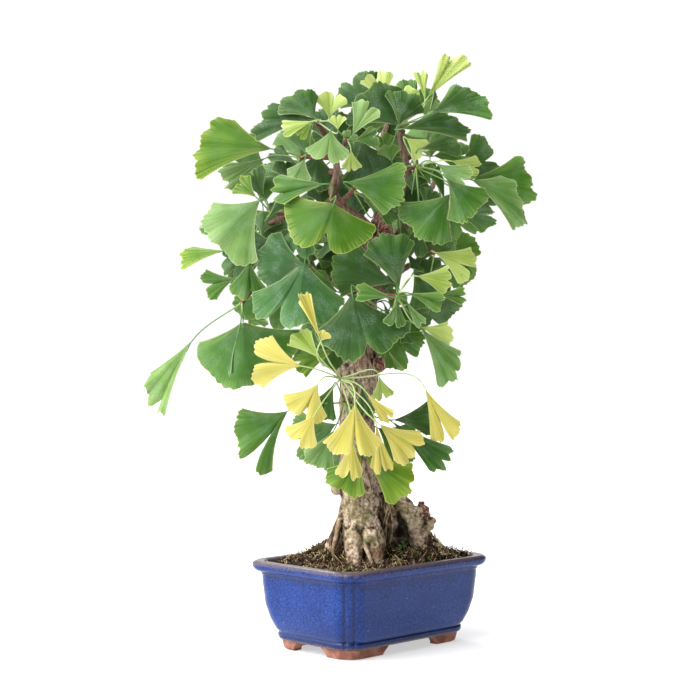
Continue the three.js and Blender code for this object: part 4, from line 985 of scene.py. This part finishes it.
def branch(stations):
    """A branch as a tube, a little out of round."""
    line = branch_line(stations)
    lumps = lambda a, i: 1 + 0.07 * np.sin(3 * a + 0.22 * i) + 0.05 * np.sin(2 * a - 0.15 * i)
    return tube(line[:, :3], line[:, 3], 16, shape=lumps)


def fused(piece, voxel, smoothing):
    """The piece's overlapping shapes as one skin, a little smoothed."""
    remesh = piece.modifiers.new("fuse", "REMESH")
    remesh.mode, remesh.voxel_size = "VOXEL", voxel * MM
    relax = piece.modifiers.new("relax", "SMOOTH")
    relax.factor, relax.iterations = 0.5, smoothing
    return applied(piece)


def bark_relief(place, radius):
    """How far the bark stands out here: a pitted, wrinkled skin on the old foot and long furrows above it."""
    x, y, z = place
    low = min(max((140 - z) / 30, 0), 1)
    warp = noise.noise(Vector((x / 9, y / 9, z / 22)))
    grooves = abs(noise.noise(Vector((x / 5.5 + warp, y / 5.5 - warp, z / 34)))) * 2 - 0.55
    wrinkles = abs(noise.noise(Vector((x / 5, y / 5 + warp, z / 3.4 + 3)))) * 2 - 0.5
    plates = noise.noise(Vector((x / 3, y / 3, z / 9 + 2 * warp)))
    lumps = noise.noise(Vector((x / 9 + 7, y / 9, z / 10)))
    pits = min(noise.noise(Vector((x / 2.2, y / 2.2, z / 2.8 + 5))), 0.2)
    size = min(radius / 11, 1)
    rough = (1.4 - 1.3 * low) * grooves + 0.9 * low * wrinkles + 0.65 * plates
    return size * (rough + (0.9 + 1.2 * low) * lumps + (0.4 + 0.7 * low) * pits)


def scar_relief(place, scars):
    """A cut branch's scar: a rolled lip round a sunken face. Gives the rise and how far inside it is."""
    rise, inside = 0.0, 0.0
    for middle, radius, depth in scars:
        away = np.linalg.norm((place - middle) * [1, 1, 0.75]) / radius
        rise += 1.1 * math.exp(-(((away - 1) / 0.22) ** 2)) - depth * max(0, 1 - away**2)
        inside = max(inside, 1 - away)
    return rise, inside


def sunken(mesh, places, normals, rounds):
    """How far each point lies below the surface round it, smoothed by so many rounds, in mm."""
    pairs = np.empty(len(mesh.edges) * 2, int)
    mesh.edges.foreach_get("vertices", pairs)
    a, b = pairs.reshape(-1, 2).T
    count = np.bincount(pairs, minlength=len(places))
    smooth = places.copy()
    for _ in range(rounds):
        for axis in range(3):
            total = np.bincount(a, smooth[b, axis], len(places))
            smooth[:, axis] = (total + np.bincount(b, smooth[a, axis], len(places))) / count
    return np.einsum("ij,ij->i", smooth - places, normals)


def points_of(mesh):
    """The places, in mm, and the normals of a mesh's points."""
    places, normals = np.empty(len(mesh.vertices) * 3), np.empty(len(mesh.vertices) * 3)
    mesh.vertices.foreach_get("co", places)
    mesh.vertices.foreach_get("normal", normals)
    return places.reshape(-1, 3) / MM - POT_MIDDLE, normals.reshape(-1, 3)


def share_in(patches, places):
    """How deep each place lies in any of the round patches, from 0 to 1."""
    share = np.zeros(len(places))
    for patch in patches:
        away = np.linalg.norm(places - at(patch), axis=1) / patch[3]
        np.maximum(share, np.clip(1.5 - 1.5 * away, 0, 1), out=share)
    return share


def with_bark(places, normals, lines):
    """The places moved out to the bark's relief, the scars and the broken stubs, and how bare each one is."""
    tree = kdtree.KDTree(len(lines))
    for i, station in enumerate(lines):
        tree.insert(Vector(station[:3]), i)
    tree.balance()
    scars = [(at(s), s[3], s[4]) for s in SCARS]
    stubs = [(at(s), s[3] * STUB_REACH) for s in STUBS]
    moved, bare = places.copy(), np.zeros(len(places))
    for i, place in enumerate(places):
        radius = lines[tree.find(Vector(place))[1]][3]
        rise, inside = scar_relief(place, scars)
        rough = bark_relief(place, radius) if inside <= 0 else 0.0
        near = min(np.linalg.norm(place - middle) / reach for middle, reach in stubs)
        if near < 1:
            rough += 1.6 * noise.noise(Vector(place / 2.6))
        bare[i] = max(inside * 3, 1.6 * (1 - near) + 0.4 * noise.noise(Vector(place / 4.0)))
        moved[i] = place + normals[i] * (rough + rise)
    return moved, bare


def make_wood():
    """Roots, trunk and branches with their knobs as one skin of bark, with bare dead wood where it broke."""
    skin, lines = Skin(), []
    for stations in [TRUNK, *LIMBS.values(), *ROOTS.values()]:
        skin.add(branch(stations))
        lines.append(branch_line(stations))
    for lumps, tall in ((KNOBS, 1.1), (FILLING, 1.2)):
        for u, v, y, r in lumps:
            skin.add(ball(at([u, v, y]), [r, r, r * tall], 8, 12))
    finishes = [BARK, DEAD_WOOD]
    wood = skin.piece("wood", finishes)
    mesh = fused(wood, WOOD_CELL, WOOD_ROUNDS)
    smooth, normals = points_of(mesh)
    places, bare = with_bark(smooth, normals, np.concatenate(lines))
    mesh.vertices.foreach_set("co", ((places + POT_MIDDLE) * MM).ravel())
    fine, broad = (sunken(mesh, places, normals, rounds) for rounds in (8, 60))
    # painted shade: darker where the surface is sunken, in the crevices, and in the listed spots between the
    # roots
    painted_shade = np.clip(1.3 * fine + 0.32 * np.maximum(broad, 0) - 0.1, 0, 0.9)
    painted_shade = np.maximum(share_in(PAINTED_SHADE_SPOTS, smooth), painted_shade)
    # painted highlight where the surface stands out
    ridge_highlight = np.clip(-1.1 * fine - 0.12, 0, 1)
    for label, share in (("rot", share_in(ROTTEN, smooth)), ("painted_shade", painted_shade), ("ridge_highlight", ridge_highlight)):
        mesh.attributes.new(label, "FLOAT", "POINT").data.foreach_set("value", share)
    mesh.materials.clear()
    for finish in finishes:
        mesh.materials.append(finish)
    broken = [int(bare[list(face.vertices)].mean() > BARE_FROM) for face in mesh.polygons]
    mesh.polygons.foreach_set("material_index", broken)
    mesh.update()
    shade(mesh, 70)
    fitted(wood, "trunk", "bark")


def make_spurs():
    """Short shoots: each a little tower of the ring scars of past years' buds."""
    skin = Skin()
    for spray in SPRAYS:
        start, tip = at(spray[1]), at(spray[2])
        length = np.linalg.norm(tip - start)
        count = max(6, int(length / 0.8))
        line = np.linspace(start, tip, count)
        radii = np.linspace(2.3, 1.75, count) * (1 + 0.09 * (np.arange(count) % 3 == 0))
        knotty = lambda a, i: 1 + 0.08 * np.sin(3 * a + 0.7 * i)
        skin.add(tube(line, radii, 9, (0.3, 1, 0.2), knotty), 0)
    fitted(skin.piece("spurs", [BARK], 50), "trunk", "bark")


make_wood()
make_spurs()


# ---- pot ---------------------------------------------------------------------------------------------
# height, inset from the rim's outline, corner radius, share of the corner's grooves, 1 where glaze is thin
LEVELS = [
    [8, 18.9, 18, 0.6, 1], [9.6, 16.9, 19, 0.7, 0.5], [13, 16.6, 19, 0.7, 0.1], [14.4, 17.5, 19, 0.9, 0],
    [17.5, 15.2, 19, 1, 0.2], [26, 11.6, 20, 1, 0], [38, 8.7, 20, 1, 0], [57, 7, 20, 1, 0],
    [63.4, 6.7, 20, 0.9, 0], [64.2, 5.9, 20, 0.9, 0.4], [65.6, 5.9, 20, 0.9, 0.3], [66.2, 4.4, 20, 0.8, 0.3],
    [67.6, 1.6, 22, 0.7, 0.2], [70.2, 0.2, 22, 0.6, 0.3], [73.2, 0.4, 22, 0.5, 0.6], [75, 2.6, 22, 0.4, 1],
    [75, 9, 16, 0, 0.8], [73.6, 11.6, 15, 0, 1], [50, 13.4, 14, 0, 0.3], [26, 17.4, 13, 0, 0.3],
    [14, 23.4, 12, 0, 0.3],
]
# height, inset, how much longer the foot's notch is, inset of the foot's inner face
FOOT_LEVELS = [
    [0, 22.4, 5.4, 30.6], [0.9, 21.3, 6.6, 31], [3.2, 20.9, 5, 30.8], [6, 20.3, 2.4, 30.4], [9, 19.6, 0, 30],
]
NOTCH = {"long": 28, "long_shift": 4, "short": 14, "short_shift": 3}
GROOVE = {"depth": 1.3, "width": 4.6, "middles": (33, 57)}  # mm, and degrees round the corner
UNDER_LIP = 63.6  # the height at which glaze pools below the lip


def groove(degrees):
    """The two grooves down each corner, with a narrow rib between them."""
    rib = 0.4 * np.exp(-(((degrees - 45) / 5) ** 2))
    dips = [np.exp(-(((degrees - middle) / GROOVE["width"]) ** 2)) for middle in GROOVE["middles"]]
    return rib + GROOVE["depth"] * sum(dips)


def softened(levels, cut):
    """A profile with its corners rounded, each starting cut mm before and after."""
    levels = np.array(levels, float)
    soft = [levels[0]]
    for before, corner, after in zip(levels, levels[1:], levels[2:]):
        steps = [(side - corner) / np.linalg.norm((side - corner)[:2]) for side in (before, after)]
        reach = [min(cut, 0.4 * np.linalg.norm((side - corner)[:2])) for side in (before, after)]
        a, b = (corner + step * r for step, r in zip(steps, reach))
        soft += [a, (a + 2 * corner + b) / 4, b]
    return np.array(soft + [levels[-1]])


def plan_ring(z, inset, corner, share):
    """The pot's outline at a height: straight sides and grooved corners, and how deep each point lies."""
    points, depth = [], []
    for quarter, (sx, sy) in enumerate([(1, 1), (-1, 1), (-1, -1), (1, -1)]):
        degrees = np.linspace(0, 90, CORNER_STEPS)[:: -1 if quarter % 2 else 1]
        a, back = np.radians(degrees), groove(degrees) * share
        x = sx * (POT["length"] / 2 - inset - corner + (corner - back) * np.cos(a))
        y = sy * (POT["width"] / 2 - inset - corner + (corner - back) * np.sin(a))
        points += list(np.stack([x, y, np.full(CORNER_STEPS, z)], 1))
        depth += list(back / GROOVE["depth"])
    return with_sides(points), with_sides(depth)


def with_sides(values):
    """A ring of the corners' values, with more of them along each straight side."""
    filled = []
    for i, value in enumerate(values):
        count = SIDE_STEPS if (i + 1) % CORNER_STEPS == 0 else 1
        step = (values[(i + 1) % len(values)] - value) / count
        filled += [value + step * s for s in range(count)]
    return np.array(filled)


def foot(sx, sy):
    """One foot: an angle round the corner, with sloping ends and rounded lower edges."""
    rings = []
    for z, inset, slope, inner in softened(FOOT_LEVELS, 0.8):
        long_end = NOTCH["long"] + sx * NOTCH["long_shift"] + slope
        short_end = NOTCH["short"] + sy * NOTCH["short_shift"] + slope
        ring = []
        for inset_now, corner, turn in ((inset, 16, 1), (inner, 8, -1)):
            x, y = POT["length"] / 2 - inset_now - corner, POT["width"] / 2 - inset_now - corner
            a = np.radians(np.linspace(0, 90, 13))
            arc = np.stack([x + corner * np.cos(a), y + corner * np.sin(a)], 1)
            ends = [[x + corner, short_end], *arc.tolist(), [long_end, y + corner]]
            ring += ends[::turn]
        rings.append(np.array([[sx * px, sy * py, z] for px, py in ring]))
    return loft(rings)


def drilled(piece, holes):
    """Cuts round holes, x and radius in mm, straight down through the piece."""
    for x, radius in holes:
        bpy.ops.mesh.primitive_cylinder_add(vertices=40, radius=radius * MM, depth=30 * MM)
        drill = bpy.context.object
        drill.location = Vector((POT_MIDDLE + [x, 0, 10]) * MM)
        cut = piece.modifiers.new("drill", "BOOLEAN")
        cut.operation, cut.object, cut.solver = "DIFFERENCE", drill, "EXACT"
        bpy.context.view_layer.update()
        applied(piece)
        bpy.data.objects.remove(drill)


def make_pot():
    """The pot with its wall, floor, feet and drainage holes."""
    skin = Skin(pool=0.0, thin=0.0)
    rings, pool, thin = [], [], []
    for z, inset, corner, share, bare in softened(LEVELS, 0.9):
        ring, depth = plan_ring(z, inset, corner, share)
        rings.append(ring)
        under_lip = 0.6 * math.exp(-(((z - UNDER_LIP) / 1.1) ** 2)) if 4 < inset < 8 and share > 0 else 0
        flange = 0.5 if z < 15 else 0.0
        pool.append(np.maximum(depth * 0.62, under_lip + flange))
        thin.append(np.full(len(ring), bare))
    skin.add(loft(rings), 0, pool=np.concatenate(pool), thin=np.concatenate(thin))
    for sx in (1, -1):
        for sy in (1, -1):
            skin.add(foot(sx, sy), 1)
    pot = skin.piece("glazed_pot", [GLAZE, CLAY])
    drilled(pot, [(DRAIN["x"], DRAIN["radius"]), (-DRAIN["x"], DRAIN["radius"])])
    shade(pot.data, 38)
    fitted(pot, "pot", "glaze")


def make_nets():
    """Gives the screens over the drainage holes, which keep their own mesh, their finish."""
    for node in ("drain_mesh_left", "drain_mesh_right"):
        for slot in frame["nodes"][node].material_slots:
            slot.material = NET


make_pot()
make_nets()


# ---- soil and what lies on it ------------------------------------------------------------------------
LITTER_SEED, WEED_SEED = 7, 11
STREWN = (78, 52)  # how far from the pot's middle anything may lie, along the pot and across it


def soil_height(x, y):
    """The soil's top, heaped up behind the roots."""
    across = x * math.cos(TREE_TURN) + y * math.sin(TREE_TURN)
    behind = y * math.cos(TREE_TURN) - x * math.sin(TREE_TURN) - SOIL["back"]
    spread = (across / SOIL["wide"]) ** 2 + (behind / SOIL["deep"]) ** 2
    heap = SOIL["mound"] * math.exp(-spread) - SOIL["mound"] * 0.1
    lumps = 1.5 * noise.noise(Vector((x / 11, y / 11, 3))) + 0.9 * noise.noise(Vector((x / 4, y / 4, 8)))
    return SOIL["edge"] + max(0, heap) + lumps


def make_soil():
    """The heap of soil, from the pot's floor up along its wall and in over the mound."""
    skin = Skin()
    rings = [plan_ring(*level, 0)[0] for level in SOIL_LEVELS]
    rim = rings[-1]
    for k in np.linspace(0.985, 0.03, 52):
        ring = rim * [k, k, 1]
        ring[:, 2] = [soil_height(x, y) for x, y, _ in ring]
        rings.append(ring)
    skin.add(loft(rings))
    fitted(skin.piece("soil_bed", [SOIL_FINISH], 60), "soil", "soil")


def on_soil(u, v):
    """Where the sight line through [u, v] on the elevation first meets the soil."""
    for y in np.arange(-95, 80, 1.0):
        place = at([u, v, y - CROWN["fall"] * from_middle(u) ** 2])
        x, z = place[0], soil_height(place[0], place[1])
        if in_soil(x, place[1], 2) and place[2] <= z:
            return np.array([x, place[1], z])
    return np.array([0, 0, soil_height(0, 0)])


def in_soil(x, y, margin=0.0):
    """Whether a place lies over the soil and this far from its edge."""
    half = [POT[side] / 2 - SOIL["inset"] - margin for side in ("length", "width")]
    return abs(x) < half[0] and abs(y) < half[1]


def jitter(rng, *spans):
    """A random step, up to these spans either way."""
    return np.array([rng.uniform(-span, span) for span in spans])


def somewhere(rng, spread=None, middle=(0, 0)):
    """A random place on the soil, anywhere or round a middle."""
    while True:
        x, y = (rng.gauss(m, spread) for m in middle[:2]) if spread else jitter(rng, *STREWN)
        if in_soil(x, y, 2):
            return np.array([x, y, soil_height(x, y)])


def crumb(rng, middle, size):
    """A rough eight-cornered lump."""
    corners = [[sx, sy, sz] for sz in (-1, 1) for sx, sy in ((-1, -1), (1, -1), (1, 1), (-1, 1))]
    scale = np.array([rng.uniform(0.6, 1.2), rng.uniform(0.6, 1.2), rng.uniform(0.5, 0.9)]) * size / 2
    points = np.array(corners) * [[rng.uniform(0.55, 1) for _ in range(3)] for _ in corners] * scale
    turn = rng.uniform(0, math.pi)
    points = np.array([spun(p, np.array([0, 0, 1]), turn) for p in points]) + middle
    quads = [(0, 3, 2, 1), (4, 5, 6, 7), (0, 1, 5, 4), (1, 2, 6, 5), (2, 3, 7, 6), (3, 0, 4, 7)]
    return points, quads


def blade_of_straw(rng, middle, length, radius):
    """A bent bit of straw lying on the soil."""
    turn = rng.uniform(0, 2 * math.pi)
    ahead = np.array([math.cos(turn), math.sin(turn), rng.uniform(-0.06, 0.1)])
    bend = np.array([-math.sin(turn), math.cos(turn), 0]) * rng.uniform(-0.15, 0.15) * length
    line = np.array([middle + ahead * length * s + bend * s * s * 4 for s in np.linspace(-0.5, 0.5, 5)])
    line[:, 2] = [max(p[2], soil_height(p[0], p[1]) + radius * 0.4) for p in line]
    return tube(line, [radius * 0.7, radius, radius, radius * 0.9, radius * 0.5], 4)


def shred(rng, place, length):
    """A short curled shred of bark or moss standing up out of the soil."""
    lean = np.array([rng.gauss(0, 0.45), rng.gauss(0, 0.45), 1.0])
    curl = np.array([rng.gauss(0, 0.35), rng.gauss(0, 0.35), -0.1])
    line = np.array([place + lean * length * s + curl * length * s * s for s in (-0.2, 0.25, 0.65, 1)])
    thick = rng.uniform(0.28, 0.65)
    return tube(line, [thick, thick, thick * 0.8, thick * 0.5], 4)


def strewn_bits(rng):
    """Shreds, crumbs and straws all over the soil."""
    for _ in range(SHREDS):
        kind = rng.choices([0, 1, 2, 3], SHRED_SHARES)[0]
        yield "bark_shreds", shred(rng, somewhere(rng), rng.uniform(1.6, 6.2)), kind
    for _ in range(CRUMBS):
        size = 0.7 + 2.2 * rng.random() ** 3
        place = somewhere(rng) + [0, 0, size * 0.2]
        yield "crumbs", crumb(rng, place, size), int(rng.random() < 0.3)
    for _ in range(STRAWS):
        place = somewhere(rng) + [0, 0, 0.5]
        yield "straw", blade_of_straw(rng, place, rng.uniform(4, 15), rng.uniform(0.25, 0.5)), 0


def heaps(rng):
    """Straw and moss that lie together in heaps and cushions."""
    for u, v, spread, count in LITTER:
        middle = on_soil(u, v)
        for _ in range(count):
            place = somewhere(rng, spread, middle) + [0, 0, 0.8]
            yield "straw", blade_of_straw(rng, place, rng.uniform(5, 16), rng.uniform(0.3, 0.6)), 0
    for u, v, spread, count in MOSSES:
        middle = on_soil(u, v)
        for _ in range(count):
            place = somewhere(rng, spread, middle)
            tip = place + [*jitter(rng, 1, 1), rng.uniform(1.2, 3.2)]
            line = np.array([place, (place + tip) / 2 + [0.2, 0, 0], tip])
            yield "moss", tube(line, [0.7, 0.55, 0.2], 4), 0


def root_hairs(rng):
    """Fine roots that hang between the thick ones."""
    for u, v, du, dv, dy, count, thick in ROOT_HAIRS:
        for _ in range(count):
            a = at([u, v, dy] + jitter(rng, 3, 5, 5))
            b = at([u + du, v + dv, dy] + jitter(rng, 5, 5, 6))
            sag = jitter(rng, 3, 3, 3)
            line = bezier(a, a + (b - a) * 0.3 + sag, a + (b - a) * 0.7 + sag, b, 9)
            hair = tube(line, np.linspace(1, 0.5, 9) * thick * rng.uniform(0.6, 1.3), 5)
            yield "root_hairs", hair, int(rng.random() < 0.35)


def make_litter():
    """All that lies on the soil, strewn by chance in a fixed order."""
    rng = random.Random(LITTER_SEED)
    skins = {name: Skin() for name in LITTER_PIECES}
    for strewn in (strewn_bits, heaps, root_hairs):
        for name, shape, finish in strewn(rng):
            skins[name].add(shape, finish)
    for name, (finishes, crease, slot) in LITTER_PIECES.items():
        fitted(skins[name].piece(name, finishes, crease), None, slot)


def weed(rng, place, height):
    """A seedling: a thin stem with a few small oval leaves."""
    shapes = []
    top = place + [*jitter(rng, 2, 2), height]
    shapes.append((tube(bezier(place, place + [0, 0, height / 2], top, top, 6), [0.45] * 6, 5), STALK_FINISH))
    for i in range(5):
        turn = 2.4 * i + rng.uniform(-0.4, 0.4)
        out = np.array([math.cos(turn), math.sin(turn), 0.5])
        foot_of_leaf = place + (top - place) * (0.45 + 0.12 * i)
        middle = foot_of_leaf + out * height * 0.28
        points, faces = ball([0, 0, 0], [height * 0.3, height * 0.16, 0.35], 6, 10)
        points = np.array([spun(p, np.array([0, 1.0, 0]), -0.45) for p in points])
        points = np.array([spun(p, np.array([0, 0, 1.0]), turn) for p in points]) + middle
        shapes.append(((points, faces), TONES.index("light")))
    return shapes


def make_weeds():
    """The seedlings that have come up in the soil."""
    rng = random.Random(WEED_SEED)
    skin = leaf_skin(along=0.6)
    for u, v, height in WEEDS:
        for shape, finish in weed(rng, on_soil(u, v), height):
            skin.add(shape, finish)
    fitted(skin.piece("seedlings", LEAF_FINISHES, 60), None, "leaf_green")


# The pieces that lie on the soil: finishes, the angle of the sharp edges, slot.
LITTER_PIECES = {
    "crumbs": ([GRIT, SOIL_FINISH], 30, "soil"),
    "straw": ([STRAW], 60, "soil"),
    "moss": ([MOSS], 60, "soil"),
    "root_hairs": ([ROOTLET, STRAW], 60, "bark"),
    "bark_shreds": ([GRIT, STRAW, MOSS, ROOTLET], 60, "soil"),
}
SHREDS, CRUMBS, STRAWS = 2600, 4200, 110
SHRED_SHARES = [6, 1.8, 0.5, 4]  # of soil, straw, moss and root
# The soil's outlines from the bottom up: height, inset from the pot's rim, corner radius.
SOIL_LEVELS = [[15.6, 24, 12], [26, 18, 13], [50, 13.9, 14], [SOIL["edge"] - 0.6, 12.3, 14]]
# Where things lie, as [u, v] on the elevation: straw and moss with their spread in mm and their number,
# seedlings with their height, and root hairs as u, v, how far they run in u and v, their depth, their number
# and their thickness.
LITTER = [[275, 560, 9, 14], [300, 557, 9, 10], [395, 556, 10, 10], [445, 552, 8, 12]]
MOSSES = [[319, 547, 3.5, 120], [268, 560, 3, 60], [300, 553, 4, 60], [333, 552, 4, 40], [360, 562, 4, 60]]
WEEDS = [[404, 552, 8], [400, 553, 6], [414, 556, 3.5], [420, 557, 3], [299, 553, 3.5], [319, 549, 3.5]]
ROOT_HAIRS = [
    [383, 500, 4, 52, 2, 34, 0.45], [388, 512, -4, 40, 0, 26, 0.4], [343, 514, -12, 34, -4, 16, 0.8],
    [338, 526, -9, 28, 0, 26, 0.7], [342, 536, -3, 24, 0, 16, 0.35], [432, 536, 12, 16, 6, 18, 0.5],
    [403, 490, 10, 19, 8, 2, 1.1], [326, 543, -6, 12, 4, 18, 0.5],
]

make_soil()
make_litter()
make_weeds()


# ---- studio ------------------------------------------------------------------------------------------
FLOOR_RADIUS = 24  # m, so that its edge lies near the horizon


def make_floor():
    """A wide sheet of paper under the pot."""
    bpy.ops.mesh.primitive_circle_add(vertices=96, radius=FLOOR_RADIUS, fill_type="NGON")
    floor = bpy.context.object
    floor.name = "floor"
    floor.location = (POT_MIDDLE[0] * MM, POT_MIDDLE[1] * MM, POT_MIDDLE[2] * MM - 0.0005)
    floor.data.materials.append(PAPER)


def make_sun(name, strength, direction, softness):
    """A far, soft lamp. Its light travels in this direction on the tree's own front elevation."""
    lamp = bpy.data.lights.new(name, "SUN")
    lamp.energy, lamp.angle = strength, math.radians(softness)
    sun = bpy.data.objects.new(name, lamp)
    sun.rotation_euler = Vector(turned(*direction)).to_track_quat("-Z", "Y").to_euler()
    bpy.context.scene.collection.objects.link(sun)


def make_world():
    """A white backdrop behind the plant, a broad soft box to the left and above, and a dim room elsewhere."""
    world = bpy.data.worlds.new("studio")
    world.use_nodes = True
    world.node_tree.nodes.clear()
    add = partial(add_node, world.node_tree)
    way = add("TexCoord")
    brightness = None
    for direction, wide, narrow, dim, bright in STUDIO_LIGHT:
        axis = tuple(unit(turned(*direction)))
        towards = add("VectorMath", [way, axis], operation="DOT_PRODUCT")
        glow = add("MapRange", [towards, wide, narrow, dim, bright])
        if brightness:
            glow = add("Math", [brightness, glow], operation="MAXIMUM")
        brightness = glow
    add("OutputWorld", [add("Background", ["#ffffff", brightness])])
    bpy.context.scene.world = world


def make_camera():
    """The viewing point that the tree is laid out from."""
    lens = bpy.data.cameras.new("camera")
    lens.sensor_width = 36
    lens.lens = lens.sensor_width * VIEW["focal"] / VIEW["width"]
    lens.clip_end = 100
    camera = bpy.data.objects.new("camera", lens)
    camera.location = Vector((POT_MIDDLE + turned(VIEW["x"], -VIEW["distance"], VIEW["z"])) * MM)
    camera.rotation_euler = (math.pi / 2, 0, TREE_TURN)
    bpy.context.scene.collection.objects.link(camera)
    bpy.context.scene.camera = camera


# The studio's light areas: the way to them on the tree's front elevation, the cosines between which each
# one fades in, and its strength outside and inside.
STUDIO_LIGHT = [
    [(0, 1, 0), 0.88, 0.95, 0.0, 1.05],
    [(-1, -0.35, 0.3), 0.15, 0.92, 0.0, 3.1],
    [(-0.5, 0.1, 1), 0.45, 0.95, 0.0, 1.1],
]

make_floor()
make_world()
make_sun("key", 3.05, (0.85, 0.6, -1.25), 60)
make_sun("back", 1.3, (0.4, -1.0, -1.2), 20)
make_camera()
bpy.context.scene.view_settings.view_transform = "Standard"
